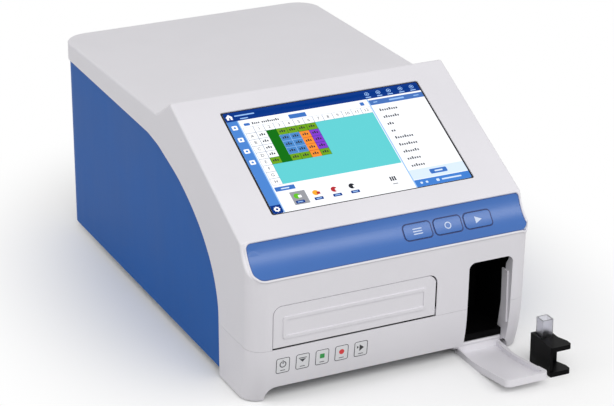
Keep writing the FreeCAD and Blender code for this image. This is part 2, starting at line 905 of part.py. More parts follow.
def plate_door():
    left = plate_door_left
    right = plate_door_right
    shape = envelope(0).cut(envelope(plate_door_thickness))
    shape = shape.common(plate_door_prism(left, right, plate_door_bottom, plate_door_top,
                                          plate_door_corner_radius, -far, far / 2))
    bead_layer = envelope(-bead_height).cut(envelope(plate_door_thickness / 2))
    x0 = left + bead_inset_side
    x1 = right - bead_inset_side
    z0 = plate_door_bottom + bead_inset_end
    z1 = plate_door_top - bead_inset_end - 3
    ring = rounded("xz", x0, x1, z0, z1, bead_width, -far, far / 2)
    ring = ring.cut(rounded("xz", x0 + bead_width, x1 - bead_width, z0 + bead_width, z1 - bead_width,
                            bead_width / 2, -far, far / 2))
    barrel = rod(left, plate_door_pin_y, plate_door_pin_z, plate_door_barrel_radius, right - left, (1, 0, 0))
    shape = shape.fuse([bead_layer.common(ring), barrel])
    pins = []
    for x, inward in ((left - plate_door_gap_left - lug_size, 1),
                      (right + plate_door_gap_right + lug_size, -1)):
        length = lug_size + plate_door_pin_depth
        pins.append(rod(x, plate_door_pin_y, plate_door_pin_z, plate_door_pin_radius, length, (inward, 0, 0)))
        shape = shape.cut(rod(x, plate_door_pin_y, plate_door_pin_z, plate_door_pin_radius + running_gap,
                              length + 1, (inward, 0, 0)))
    nodes["plate_door"] = shape
    nodes["plate_door_pins"] = group(pins)


def carriage():
    """Plate carriage with its nest, tail, bearing blocks and belt clamp."""
    half_nest = plate_length / 2 + plate_clearance + nest_border
    nest_back = carriage_front_y + plate_width + 2 * plate_clearance + 2 * nest_border
    bottom = nest_floor_z - carriage_thickness
    body = rounded("xy", carriage_x - half_nest, carriage_x + half_nest, carriage_front_y, nest_back, 5,
                   bottom, nest_floor_z + nest_wall_height)
    pocket = rounded("xy", carriage_x - half_nest + nest_border, carriage_x + half_nest - nest_border,
                     carriage_front_y + nest_border, nest_back - nest_border, 3,
                     nest_floor_z, nest_floor_z + far)
    window = rounded("xy", carriage_x - half_nest + nest_border + nest_ledge,
                     carriage_x + half_nest - nest_border - nest_ledge,
                     carriage_front_y + nest_border + nest_ledge, nest_back - nest_border - nest_ledge, 3,
                     bottom - 1, nest_floor_z + far)
    body = body.cut(pocket).cut(window)
    middle_y = (carriage_front_y + nest_back) / 2
    for x in (carriage_x - half_nest, carriage_x + half_nest):
        body = body.cut(rounded("xy", x - nest_border * 1.2, x + nest_border * 1.2, middle_y - finger_width / 2,
                                middle_y + finger_width / 2, 4, nest_floor_z, nest_floor_z + far))
    half_tail = carriage_tail_width / 2
    tail_end = nest_back + carriage_tail_length
    tail = rounded("xy", carriage_x - half_tail, carriage_x + half_tail, nest_back - 10, tail_end, 4,
                   bottom, nest_floor_z)
    cut_out = rounded("xy", carriage_x - rod_spacing / 2 + bearing_block_width / 2 + 8,
                      carriage_x + rod_spacing / 2 - bearing_block_width / 2 - 8,
                      nest_back + 14, tail_end - 16, 6, bottom - 1, nest_floor_z + 1)
    body = body.fuse(tail).cut(cut_out)
    bushes = []
    for side in (-1, 1):
        x = carriage_x + side * rod_spacing / 2
        for y in (nest_back + block_from_nest, tail_end - bush_length - 4):
            block = box(x - bearing_block_width / 2, x + bearing_block_width / 2, y, y + bush_length,
                        rod_z - bearing_block_drop, bottom + 1)
            body = body.fuse(block)
            outer = rod(x, y, rod_z, rod_radius + bush_wall, bush_length, (0, 1, 0))
            body = body.cut(outer)
            bushes.append(outer.cut(rod(x, y, rod_z, rod_radius + running_gap, bush_length, (0, 1, 0))))
    clamp_y = nest_back + clamp_from_nest
    belt_top = pulley_z + pulley_radius + clamp_gap
    clamp = box(carriage_x + half_tail - 2, belt_x + belt_width / 2 + clamp_gap + clamp_wall, clamp_y,
                clamp_y + clamp_length, belt_top - clamp_gap - clamp_wall, nest_floor_z)
    slot = box(belt_x - belt_width / 2 - clamp_gap, belt_x + belt_width / 2 + clamp_gap, clamp_y - 1,
               clamp_y + clamp_length + 1, belt_top - clamp_gap, belt_top + belt_thickness + clamp_gap)
    nodes["plate_carriage"] = body.fuse(clamp).cut(slot).removeSplitter()
    nodes["carriage_bushes"] = group(bushes)


def rails_and_drive():
    rods = []
    supports = []
    floor = tray_z + tray_thickness
    for side in (-1, 1):
        x = carriage_x + side * rod_spacing / 2
        rods.append(rod(x, rod_front_y, rod_z, rod_radius, rod_rear_y - rod_front_y, (0, 1, 0)))
    nodes["carriage_rods"] = group(rods)
    half = rod_spacing / 2 + rod_radius + rod_support_margin
    for y, y_foot in ((rod_front_y, rod_front_y), (rod_rear_y - rod_support_thickness, rod_rear_y - 20)):
        plate = box(carriage_x - half, carriage_x + half, y, y + rod_support_thickness, floor,
                    rod_z + rod_support_rise)
        foot = box(carriage_x - half, carriage_x + half, y_foot, y_foot + 20, floor, floor + 3)
        plate = plate.fuse(foot)
        for side in (-1, 1):
            x = carriage_x + side * rod_spacing / 2
            plate = plate.cut(rod(x, y - 1, rod_z, rod_radius + running_gap / 2, rod_support_thickness + 2,
                                  (0, 1, 0)))
        supports.append(plate)
    nodes["rod_supports"] = group(supports)
    inner = pulley_radius + clamp_gap
    nodes["drive_belt"] = belt_loop(inner + belt_thickness).cut(belt_loop(inner))
    x0 = belt_x - pulley_width / 2 - pulley_rim_width

    def pulley(y):
        drum = rod(x0, y, pulley_z, pulley_radius, pulley_width + 2 * pulley_rim_width, (1, 0, 0))
        rims = [rod(x, y, pulley_z, pulley_radius + pulley_rim, pulley_rim_width, (1, 0, 0))
                for x in (x0, x0 + pulley_width + pulley_rim_width)]
        return drum.fuse(rims)

    x1 = x0 + pulley_width + 2 * pulley_rim_width
    nodes["idler_pulley"] = pulley(idler_y).cut(rod(x0 - 1, idler_y, pulley_z, idler_pin_radius + running_gap,
                                                    pulley_width + 9, (1, 0, 0)))
    ear = 2.0
    ears = [box(x, x + ear, idler_y - 6, idler_y + 6, floor, pulley_z + 6)
            for x in (x0 - 1 - ear, x1 + 1)]
    base = box(x0 - 1 - ear, x1 + 1 + ear, idler_y - 6, idler_y + 6, floor, floor + 2)
    pin = rod(x0 - 1 - ear, idler_y, pulley_z, idler_pin_radius, x1 - x0 + 2 + 2 * ear, (1, 0, 0))
    nodes["idler_bracket"] = ears[0].fuse([ears[1], base, pin])
    bracket_x = x1 + 1
    half_motor = motor_size / 2
    bracket = box(bracket_x, bracket_x + 3, drive_y - half_motor - 2, drive_y + half_motor + 2, floor,
                  pulley_z + half_motor + 2)
    bracket = bracket.fuse(box(bracket_x, bracket_x + 30, drive_y - half_motor - 2, drive_y + half_motor + 2,
                               floor, floor + 3))
    bracket = bracket.cut(rod(bracket_x - 1, drive_y, pulley_z, 11.2, 5, (1, 0, 0)))
    nodes["motor_bracket"] = bracket
    motor_x = bracket_x + 3
    motor = rounded("yz", drive_y - half_motor, drive_y + half_motor, pulley_z - half_motor,
                    pulley_z + half_motor, 4, motor_x, motor_x + motor_length)
    motor = motor.fuse(rod(motor_x - 2, drive_y, pulley_z, 11, 3, (1, 0, 0)))
    motor = motor.cut(rod(motor_x - 3, drive_y, pulley_z, motor_shaft_radius + running_gap, 12, (1, 0, 0)))
    nodes["drive_motor"] = motor
    nodes["drive_pulley"] = pulley(drive_y).fuse(rod(x0, drive_y, pulley_z, motor_shaft_radius,
                                                     motor_x - x0 + 8, (1, 0, 0)))


def belt_loop(radius):
    """Solid outline of the belt run round both pulleys."""
    x = belt_x - belt_width / 2
    top_front = Vector(x, idler_y, pulley_z + radius)
    top_rear = Vector(x, drive_y, pulley_z + radius)
    low_rear = Vector(x, drive_y, pulley_z - radius)
    low_front = Vector(x, idler_y, pulley_z - radius)
    wire = Part.Wire([
        Part.makeLine(top_front, top_rear),
        Part.Arc(top_rear, Vector(x, drive_y + radius, pulley_z), low_rear).toShape(),
        Part.makeLine(low_rear, low_front),
        Part.Arc(low_front, Vector(x, idler_y - radius, pulley_z), top_front).toShape(),
    ])
    return slab(wire, (belt_width, 0, 0))


def reading_head():
    """Cross rods, sliding head, its screw and motor, and the detectors under the plate."""
    floor = tray_z + tray_thickness
    posts = []
    for x, foot_x in ((post_left_x, post_left_x), (post_right_x, post_right_x)):
        post = box(x, x + post_thickness, post_front_y, post_rear_y, floor, post_top_z)
        post = post.fuse(box(foot_x, foot_x + 14, post_front_y, post_rear_y, floor, floor + 4))
        for y in (head_rod_front_y, head_rod_rear_y):
            post = post.cut(rod(x - 1, y, head_z, head_rod_radius + running_gap / 2, post_thickness + 2, (1, 0, 0)))
        post = post.cut(rod(x - 1, head_screw_y, head_z, head_screw_radius + running_gap, post_thickness + 2,
                            (1, 0, 0)))
        posts.append(post)
    nodes["head_posts"] = group(posts)
    span = post_right_x + post_thickness - post_left_x
    nodes["head_rods"] = group([rod(post_left_x, y, head_z, head_rod_radius, span, (1, 0, 0))
                                for y in (head_rod_front_y, head_rod_rear_y)])
    left = carriage_x - head_size_x / 2
    right = carriage_x + head_size_x / 2
    block = box(left, right, post_front_y + 1, post_rear_y - 1, head_z - head_size_z / 2, head_z + head_size_z / 2)
    for y, radius in ((head_rod_front_y, head_rod_radius), (head_rod_rear_y, head_rod_radius),
                      (head_screw_y, head_screw_radius)):
        block = block.cut(rod(left - 1, y, head_z, radius + running_gap, head_size_x + 2, (1, 0, 0)))
    tube = rod(carriage_x, lens_tube_y, lens_tube_bottom_z, lens_tube_radius,
               head_z - head_size_z / 2 + 1 - lens_tube_bottom_z, (0, 0, 1))
    port = rod(carriage_x, lens_tube_y, head_z + head_size_z / 2 - 1, lens_tube_radius - 2, 10, (0, 0, 1))
    bore = rod(carriage_x, lens_tube_y, lens_tube_bottom_z - 1, lens_radius, head_z, (0, 0, 1))
    nodes["optics_head"] = block.fuse([tube, port]).cut(bore)
    nodes["objective_lens"] = rod(carriage_x, lens_tube_y, lens_tube_bottom_z + 1, lens_radius, 4, (0, 0, 1))
    motor_x = post_right_x + post_thickness
    nodes["head_lead_screw"] = rod(post_left_x + 1, head_screw_y, head_z, head_screw_radius,
                                   motor_x + 8 - post_left_x - 1, (1, 0, 0))
    half = small_motor_size / 2
    motor = rounded("yz", head_screw_y - half, head_screw_y + half, head_z - half, head_z + half, 3,
                    motor_x, motor_x + small_motor_length)
    nodes["head_motor"] = motor.cut(rod(motor_x - 1, head_screw_y, head_z, head_screw_radius + running_gap,
                                        11, (1, 0, 0)))
    reach = detector_pitch * detector_count / 2 + 4
    y0 = lens_tube_y - detector_bar_depth / 2
    bar = box(carriage_x - reach, carriage_x + reach, y0, y0 + detector_bar_depth,
              detector_bar_top_z - detector_bar_height, detector_bar_top_z)
    for side in (-1, 1):
        x = carriage_x + side * (reach - 6)
        bar = bar.fuse(box(x - 3, x + 3, y0, y0 + detector_bar_depth, floor, detector_bar_top_z - 1))
    domes = []
    for i in range(detector_count):
        x = carriage_x + (i - (detector_count - 1) / 2) * detector_pitch
        domes.append(rod(x, lens_tube_y, detector_bar_top_z - 1, detector_lens_radius,
                         detector_lens_height + 1, (0, 0, 1)))
    nodes["detector_bar"] = bar.fuse(domes)


def light_source():
    """Raised deck with the monochromator case, filter wheel and lamp house."""
    floor = tray_z + tray_thickness
    nodes["optics_deck"] = box(deck_left_x, deck_right_x, deck_front_y, deck_rear_y, deck_z, deck_z + deck_thickness)
    nodes["deck_columns"] = group([
        rod(x, y, floor, column_radius, deck_z - floor, (0, 0, 1))
        for x in (deck_left_x + column_inset, deck_right_x - column_inset)
        for y in (deck_front_y + column_inset, deck_rear_y - column_inset)])
    base = deck_z + deck_thickness
    top = base + case_height
    beam = rod(case_right_x - 2 * case_wall, beam_y, beam_z, beam_radius, far * 2, (1, 0, 0))
    case = box(case_left_x, case_right_x, case_front_y, case_rear_y, base, top)
    case = case.cut(box(case_left_x + case_wall, case_right_x - case_wall, case_front_y + case_wall,
                        case_rear_y - case_wall, base + case_wall, top + 1))
    nodes["monochromator_case"] = case.cut(beam)
    nodes["monochromator_lid"] = box(case_left_x, case_right_x, case_front_y, case_rear_y, top, top + 2)
    grating_x = (case_left_x + case_right_x) / 2
    pivot = rod(grating_x, beam_y, base + case_wall - 1.5, 3, 6, (0, 0, 1))
    nodes["monochromator_case"] = nodes["monochromator_case"].cut(
        rod(grating_x, beam_y, base + case_wall - 1.5, 3 + running_gap, 6, (0, 0, 1)))
    table = rod(grating_x, beam_y, base + case_wall + 0.5, 15, 6, (0, 0, 1))
    plate = box(grating_x - 2, grating_x + 4, beam_y - 14, beam_y + 14, base + case_wall + 4, top - 8)
    nodes["grating_turret"] = pivot.fuse([table, plate])
    wheel = rod(wheel_x, beam_y, wheel_centre_z, wheel_radius, wheel_thickness, (1, 0, 0))
    filters = []
    for i in range(wheel_hole_count):
        angle = 2 * math.pi * i / wheel_hole_count
        y = beam_y + (beam_z - wheel_centre_z) * math.sin(angle)
        z = wheel_centre_z + (beam_z - wheel_centre_z) * math.cos(angle)
        wheel = wheel.cut(rod(wheel_x - 1, y, z, wheel_hole_radius, wheel_thickness + 2, (1, 0, 0)))
        filters.append(rod(wheel_x + 1, y, z, wheel_hole_radius - running_gap / 2, 2, (1, 0, 0)))
    shaft = rod(wheel_x - 1, beam_y, wheel_centre_z, 2, wheel_bracket_x + 10 - wheel_x, (1, 0, 0))
    nodes["filter_wheel"] = wheel.fuse(shaft)
    nodes["order_filters"] = group(filters)
    bracket = box(wheel_bracket_x, wheel_bracket_x + 2, beam_y - 14, beam_y + 14, base,
                  wheel_centre_z + wheel_motor_radius)
    motor = rod(wheel_bracket_x + 2, beam_y, wheel_centre_z, wheel_motor_radius, wheel_motor_length, (1, 0, 0))
    nodes["wheel_motor"] = bracket.fuse(motor).cut(
        rod(wheel_bracket_x - 1, beam_y, wheel_centre_z, 2 + running_gap, 14, (1, 0, 0)))
    lamp = box(lamp_left_x, lamp_right_x, beam_y - lamp_depth / 2, beam_y + lamp_depth / 2, base, base + lamp_height + 14)
    lamp = lamp.cut(rod(lamp_left_x - 1, beam_y, beam_z, beam_radius, 12, (1, 0, 0)))
    for i in range(lamp_fin_count):
        y = beam_y - lamp_depth / 2 + 3 + i * lamp_fin_pitch
        lamp = lamp.cut(box(lamp_left_x + 14, lamp_right_x + 1, y, y + lamp_fin_pitch / 2, base + 6,
                            base + lamp_height + 15))
    nodes["lamp_house"] = lamp


def chassis():
    """Folded tray, electronics and feet."""
    def plan(inset, z0, z1):
        h = tray_half_width - inset
        wire = outline("xy", [(-h, tray_front_y, tray_front_corner), (h, tray_front_y, tray_front_corner),
                              (h, tray_rear_y - inset, tray_corner - inset),
                              (-h, tray_rear_y - inset, tray_corner - inset)], z0)
        return slab(wire, (0, 0, z1 - z0))

    floor = tray_z + tray_thickness
    tray = plan(0, tray_z, tray_z + tray_flange).cut(plan(tray_thickness, floor, tray_z + tray_flange + 1))
    tray = tray.cut(box(-half_width, half_width, 0, panel_front_y + 8, floor, far))
    tray = tray.cut(box(port_left - tray_port_side, port_right + tray_port_side, 0,
                        port_collar_depth + tray_port_back, 0, far))
    studs = []
    for x in (main_board_left + 5, main_board_right - 5):
        for y in (main_board_front + 5, main_board_rear - 5):
            studs.append(rod(x, y, floor - 0.5, standoff_radius, standoff_height + 0.5, (0, 0, 1)))
    for x in (io_x - 25, io_x + 45):
        studs.append(rod(x, rear_panel_y - 22, floor - 0.5, standoff_radius, io_z - 12 - floor + 0.5, (0, 0, 1)))
    tray = tray.fuse(studs)
    for x, z in rear_screw_spots():
        tray = tray.cut(rod(x, tray_rear_y - 8, z, screw_radius, 10, (0, 1, 0)))
    nodes["base_tray"] = tray
    board_z = floor + standoff_height
    board = box(main_board_left, main_board_right, main_board_front, main_board_rear, board_z, board_z + board_thickness)
    chips = [box(main_board_left + 12 + 26 * i, main_board_left + 28 + 26 * i, main_board_front + 30,
                 main_board_front + 46, board_z + board_thickness, board_z + board_thickness + 3) for i in range(4)]
    nodes["main_board"] = board.fuse(chips)
    nodes["power_supply"] = box(supply_left, supply_right, supply_front, supply_rear, floor, floor + supply_height)
    pads = []
    for side in (-1, 1):
        outer = side * (half_width - foot_pad_inset)
        low, high = sorted((outer, outer - side * foot_pad_width))
        pad = rounded("xy", low, high, foot_pad_front, foot_pad_front + foot_pad_length, 4, 0, skirt_z)
        pads.append(pad.common(envelope(foot_pad_inset)))
    nodes["front_foot_pads"] = group(pads)
    nodes["rear_feet"] = group([
        Part.makeCone(rear_foot_radius - 2, rear_foot_radius, tray_z, Vector(x, rear_foot_y, 0))
        for x in (-rear_foot_x, rear_foot_x)])


def fan():
    y0 = rear_panel_y - fan_depth
    half = fan_size / 2
    frame = rounded("xz", fan_x - half, fan_x + half, fan_z - half, fan_z + half, 4, y0, rear_panel_y)
    frame = frame.cut(rod(fan_x, y0 - 1, fan_z, fan_swing_radius + 1, fan_depth + 2, (0, 1, 0)))
    hub = rod(fan_x, y0, fan_z, fan_hub_radius, 3, (0, 1, 0))
    struts = []
    for i in range(4):
        strut = box(fan_x, fan_x + fan_swing_radius + 3, y0, y0 + 2, fan_z - 2, fan_z + 2)
        struts.append(turned(strut, Vector(fan_x, y0, fan_z), Vector(0, 1, 0), 45 + 90 * i))
    frame = frame.fuse([hub] + struts).cut(rod(fan_x, y0 - 1, fan_z, 1.5 + running_gap, 5, (0, 1, 0)))
    nodes["fan_frame"] = frame
    rotor_y = y0 + 3.5
    rotor = rod(fan_x, rotor_y, fan_z, fan_hub_radius, fan_depth - 5, (0, 1, 0))
    blades = []
    for i in range(fan_blades):
        blade = Part.makeBox(fan_swing_radius - fan_hub_radius + 2, 1.2, fan_depth - 3,
                             Vector(fan_hub_radius - 2, -0.6, -(fan_depth - 3) / 2))
        blade.rotate(Vector(0, 0, 0), Vector(1, 0, 0), 40)
        blade.translate(Vector(fan_x, rotor_y + (fan_depth - 5) / 2, fan_z))
        blades.append(turned(blade, Vector(fan_x, 0, fan_z), Vector(0, 1, 0), 360 * i / fan_blades))
    ring = rod(fan_x, rotor_y, fan_z, fan_swing_radius, fan_depth - 5, (0, 1, 0))
    pin = rod(fan_x, y0, fan_z, 1.5, 5, (0, 1, 0))
    nodes["fan_rotor"] = rotor.fuse([blade.common(ring) for blade in blades] + [pin])


def rear():
    """Rear panel with its fan grille, vents and sockets."""
    y = rear_panel_y
    floor = tray_z + tray_thickness
    panel = box(-rear_panel_half_width, rear_panel_half_width, y, y + rear_panel_thickness,
                floor + seam_gap, rear_panel_top)
    holes = []
    for q in range(-grille_rings, grille_rings + 1):
        for r in range(-grille_rings, grille_rings + 1):
            if abs(q + r) > grille_rings:
                continue
            x = fan_x + grille_pitch * (q + r / 2)
            z = fan_z + grille_pitch * r * math.sqrt(3) / 2
            holes.append(rod(x, y - 1, z, grille_hole_radius, 4, (0, 1, 0)))
    for i in range(vent_count):
        z = vent_z + (i - (vent_count - 1) / 2) * vent_pitch
        holes.append(rounded("xz", vent_x - vent_width / 2, vent_x + vent_width / 2, z - vent_height / 2,
                             z + vent_height / 2, vent_height / 2 - 0.05, y - 1, y + 3))
    holes.append(cut_prism(inlet_x, inlet_z, inlet_width, inlet_height, 0.2))
    holes.append(cut_prism(inlet_x, rocker_z, rocker_width + 4, rocker_height + 4, 0.2))
    for x, width, height in io_sockets():
        holes.append(cut_prism(x, io_z - 10.4 + height / 2, width, height, 0.3))
    screws = []
    for x, z in rear_screw_spots():
        holes.append(rod(x, y - 1, z, screw_radius, 4, (0, 1, 0)))
        head = rod(x, y + rear_panel_thickness, z, screw_head_radius, screw_head_height, (0, 1, 0))
        screws.append(head.fuse(rod(x, y - 6, z, screw_radius - running_gap, 6 + rear_panel_thickness, (0, 1, 0))))
    nodes["rear_panel"] = panel.cut(group(holes))
    inlet = cut_prism(inlet_x, inlet_z, inlet_width, inlet_height, 0)
    inlet = inlet.common(box(-half_width, half_width, y - inlet_depth, y + 2, 0, far * 2))
    flange = rounded("xz", inlet_x - inlet_width / 2 - 5, inlet_x + inlet_width / 2 + 5,
                     inlet_z - inlet_height / 2 - 2, inlet_z + inlet_height / 2 + 2, 2,
                     y + rear_panel_thickness, y + rear_panel_thickness + 2)
    socket = rounded("xz", inlet_x - 11.5, inlet_x + 11.5, inlet_z - 7.5, inlet_z + 7.5, 2.5,
                     y - inlet_depth + 3, y + far)
    inlet = inlet.fuse(flange).cut(socket)
    for x, z in ((-6.0, -1.5), (0.0, 2.5), (6.0, -1.5)):
        inlet = inlet.fuse(box(inlet_x + x - 1, inlet_x + x + 1, y - inlet_depth + 1, y - 3,
                               inlet_z + z - 2, inlet_z + z + 2))
    nodes["mains_inlet"] = inlet
    well = cut_prism(inlet_x, rocker_z, rocker_width + 4, rocker_height + 4, 0)
    well = well.common(box(-half_width, half_width, y - 14, y + 2, 0, far * 3))
    rim = rounded("xz", inlet_x - rocker_width / 2 - 3.2, inlet_x + rocker_width / 2 + 3.2,
                  rocker_z - rocker_height / 2 - 3.2, rocker_z + rocker_height / 2 + 3.2, 1.5,
                  y + rear_panel_thickness, y + rear_panel_thickness + 1.2)
    hollow = box(inlet_x - rocker_width / 2 - rocker_clearance, inlet_x + rocker_width / 2 + rocker_clearance, y - 12, y + far,
                 rocker_z - rocker_height / 2 - 0.3, rocker_z + rocker_height / 2 + 0.3)
    pin = rod(inlet_x, y - 3, rocker_z - rocker_height / 2 - 1.5, rocker_pin_radius, rocker_height + 3, (0, 0, 1))
    nodes["power_switch_frame"] = well.fuse(rim).cut(hollow).fuse(pin)
    # The rocker is drawn level and then tipped to one side, where it rests
    w = rocker_width / 2
    wire = outline("xy", [(inlet_x - w, y + 1.0, 0.4), (inlet_x - w + 2.5, y - 7, 2), (inlet_x + w - 2.5, y - 7, 2),
                          (inlet_x + w, y + 1.0, 0.4), (inlet_x + w, y + 3.4, 0.6), (inlet_x, y + 1.8, 12),
                          (inlet_x - w, y + 3.4, 0.6)], rocker_z - rocker_height / 2)
    rocker = slab(wire, (0, 0, rocker_height))
    rocker = rocker.cut(rod(inlet_x, y - 3, rocker_z - rocker_height, rocker_pin_radius + running_gap,
                            rocker_height * 2, (0, 0, 1)))
    nodes["power_rocker"] = turned(rocker, Vector(inlet_x, y - 3, rocker_z), Vector(0, 0, 1), rocker_swing / 2)
    board = box(io_x - 32, io_x + 52, y - 34, y - 2, io_z - 12, io_z - 12 + board_thickness)
    ports = []
    for x, width, height in io_sockets():
        low = io_z - 12 + board_thickness
        shell = cut_prism(x, low + height / 2, width, height, 0)
        shell = shell.common(box(x - width, x + width, y - 18, y + rear_panel_thickness, low, low + height))
        ports.append(shell.cut(box(x - width / 2 + 1, x + width / 2 - 1, y - 12, y + far, low + 1, low + height - 1)))
    nodes["io_board"] = board.fuse(ports)
    return screws


def rear_screw_spots():
    """Centres of the rear panel's screws, seen from behind."""
    low = tray_z + tray_thickness + rear_screw_inset
    high = rear_panel_top - rear_screw_inset
    side = rear_panel_half_width - rear_screw_inset
    return [(x, z) for x in (-side, 0, side) for z in (low, high)]


def io_sockets():
    """Centre, width and height of each data socket on the rear."""
    return [(io_x - 22, 12.0, 11.0), (io_x, 13.0, 15.0), (io_x + 24, 16.0, 13.0)]


def cut_prism(x, z, width, height, grow):
    y = rear_panel_y
    return rounded("xz", x - width / 2 - grow, x + width / 2 + grow, z - height / 2 - grow, z + height / 2 + grow,
                   1.2, y - far / 2, y + far / 2)


def cuvette_port():
    """Dark liner behind the opening, the white guide in it, and the drop-down door."""
    underside = liner_floor_z - liner_wall
    outer = box(port_left - liner_wall, port_right + liner_wall, 0, liner_rear, underside, port_top + liner_wall)
    inner = box(port_left, port_right, -1, liner_rear - liner_wall, liner_floor_z, port_top)
    liner = outer.cut(inner).cut(collar_region(seam_gap))
    low_left = port_left + 2 * seam_gap
    low_right = port_right - 2 * seam_gap
    apron = box(low_left, low_right, liner_lip_y, port_collar_depth + 1, underside, liner_floor_z)
    lip = box(low_left, low_right, liner_lip_y, liner_lip_y + liner_wall, liner_lip_bottom, liner_floor_z)
    nodes["port_liner"] = liner.fuse([apron, lip])
    nodes["guide_strip"] = box(port_right - guide_thickness, port_right, guide_front, guide_front + guide_depth,
                               guide_bottom, guide_top)
    gap = cuvette_door_gap
    low = cuvette_door_bottom
    high = box(-half_width, half_width, -far, far, low, port_top - gap)
    shape = envelope(0).cut(envelope(cuvette_door_skin)).common(port_prism(-gap, -far, far)).common(high)
    rim_layer = envelope(cuvette_door_skin - 0.5).cut(envelope(cuvette_door_rim)).common(port_prism(-gap, -far, far))
    rim_layer = rim_layer.common(box(-half_width, half_width, -far, far, cuvette_door_rim_bottom, port_top - gap))
    core = rounded("xz", port_left + gap + cuvette_door_left_rim, port_right - gap - cuvette_door_rim_width,
                   low - far, port_top - gap - cuvette_door_rim_width, 3, -far, far)
    rim = rim_layer.cut(core)
    y = cuvette_door_pin_y
    z = cuvette_door_pin_z
    left = port_left + gap
    width = port_right - port_left - 2 * gap
    barrel = rod(left, y, z, knuckle_radius, width, (1, 0, 0))
    web = box(left, left + width, 0, y, z - cuvette_door_web / 2, z + cuvette_door_web / 2)
    shape = shape.fuse(rim.Solids + [web.common(envelope(cuvette_door_skin / 2)), barrel])
    # The rim makes room for the guide strip when the door is shut
    shape = shape.cut(box(port_right - guide_thickness - seam_gap, port_right, guide_front - seam_gap,
                          guide_front + guide_depth, guide_bottom - seam_gap, guide_top + seam_gap))
    shape = shape.cut(rod(port_left - far, y, z, cuvette_door_pin_radius + running_gap, body_width, (1, 0, 0)))
    nodes["cuvette_door"] = turned(shape, Vector(0, y, z), Vector(1, 0, 0), cuvette_door_open)
    x0 = port_left - hinge_lug_thickness
    x1 = port_right + hinge_lug_thickness
    nodes["cuvette_door_pin"] = rod(x0, y, z, cuvette_door_pin_radius, x1 - x0, (1, 0, 0))


def cuvette_holder():
    """Black holder with a square well, grip flanges and a light aperture."""
    x0 = holder_left
    x1 = x0 + holder_column_width
    x2 = x0 + holder_flange_width
    y0 = holder_front
    y1 = y0 + holder_length - holder_column_length
    y2 = y0 + holder_length
    column = box(x0, x1, y1, y2, 0, holder_height)
    wall = box(x0, x0 + holder_side_wall, y0 + 2, y1 + 1, 0, holder_height)
    plates = []
    for z in (0, holder_height - holder_flange_thickness):
        wire = outline("xy", [(x0, y0, holder_corner), (x2, y0, 3), (x2, y0 + 9, 3), (x1, y1, 6),
                              (x1, y2, 0), (x0, y2, 0)], z)
        plates.append(slab(wire, (0, 0, holder_flange_thickness)))
    shape = column.fuse([wall] + plates)
    cx = (x0 + x1) / 2
    cy = (y1 + y2) / 2
    half = well_size / 2
    shape = shape.cut(rounded("xy", cx - half, cx + half, cy - half, cy + half, 0.6, well_floor, holder_height + 1))
    shape = shape.cut(rod(cx, y1 - 1, aperture_z, aperture_radius, holder_column_length + 2, (0, 1, 0)))
    nodes["cuvette_holder"] = shape.removeSplitter()
    half = cuvette_size / 2
    inside = half - cuvette_wall
    glass = rounded("xy", cx - half, cx + half, cy - half, cy + half, cuvette_corner, well_floor + 0.3,
                    well_floor + 0.3 + cuvette_height)
    nodes["cuvette"] = glass.cut(rounded("xy", cx - inside, cx + inside, cy - inside, cy + inside, 0.5,
                                         well_floor + 0.3 + cuvette_wall, far * 2))


outer_body, inner_body = body_skin()
skin = outer_body.cut(inner_body)
nodes["upper_cover"], nodes["lower_front"] = mouldings()
side_panels()
screws = display()
band()
touch_keys()
plate_door()
carriage()
rails_and_drive()
reading_head()
light_source()
chassis()
fan()
screws = screws + rear()
nodes["screws"] = group(screws)
cuvette_port()
cuvette_holder()

# The origin is the middle of the footprint, on the bench
everything = group(list(nodes.values())).BoundBox
origin = Vector((everything.XMin + everything.XMax) / 2, (everything.YMin + everything.YMax) / 2, 0)
print("origin in body coordinates", round(origin.x, 3), round(origin.y, 3))
os.makedirs("parts", exist_ok=True)
for name, shape in nodes.items():
    placed = moved(shape, -origin.x, -origin.y)
    placed.exportStep("parts/" + name + ".step")
    print(name, placed.isValid(), len(placed.Solids), round(placed.Volume, 1))
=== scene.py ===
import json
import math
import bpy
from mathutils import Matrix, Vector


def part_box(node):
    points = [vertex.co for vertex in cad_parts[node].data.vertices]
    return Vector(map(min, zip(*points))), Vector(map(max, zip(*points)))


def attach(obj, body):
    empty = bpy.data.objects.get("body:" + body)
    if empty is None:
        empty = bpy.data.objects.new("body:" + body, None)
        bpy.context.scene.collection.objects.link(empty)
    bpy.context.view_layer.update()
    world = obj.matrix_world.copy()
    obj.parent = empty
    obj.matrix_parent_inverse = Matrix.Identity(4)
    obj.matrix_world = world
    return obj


bl_info = {
    "name": "Microplate reader",
    "version": (1, 0, 0),
    "blender": (4, 5, 0),
    "location": "View3D > Sidebar > Reader",
    "description": "Finishes, screen picture, printed symbols and studio for a bench microplate reader",
    "category": "Object",
}

import bmesh
import bpy
import numpy as np

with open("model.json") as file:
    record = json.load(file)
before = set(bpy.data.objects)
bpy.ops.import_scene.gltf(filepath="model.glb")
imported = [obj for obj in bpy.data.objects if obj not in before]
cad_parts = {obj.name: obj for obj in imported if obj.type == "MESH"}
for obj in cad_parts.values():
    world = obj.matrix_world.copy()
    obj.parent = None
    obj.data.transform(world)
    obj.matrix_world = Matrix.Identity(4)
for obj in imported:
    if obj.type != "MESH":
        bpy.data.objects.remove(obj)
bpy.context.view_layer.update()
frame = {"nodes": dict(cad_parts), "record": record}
MM = 0.001


def rgb(red, green, blue):
    """Scene-linear colour of three display values from 0 to 255."""
    shown = np.array([red, green, blue]) / 255.0
    linear = np.where(shown <= 0.04045, shown / 12.92, ((shown + 0.055) / 1.055) ** 2.4)
    return tuple(float(c) for c in linear)


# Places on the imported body, in metres

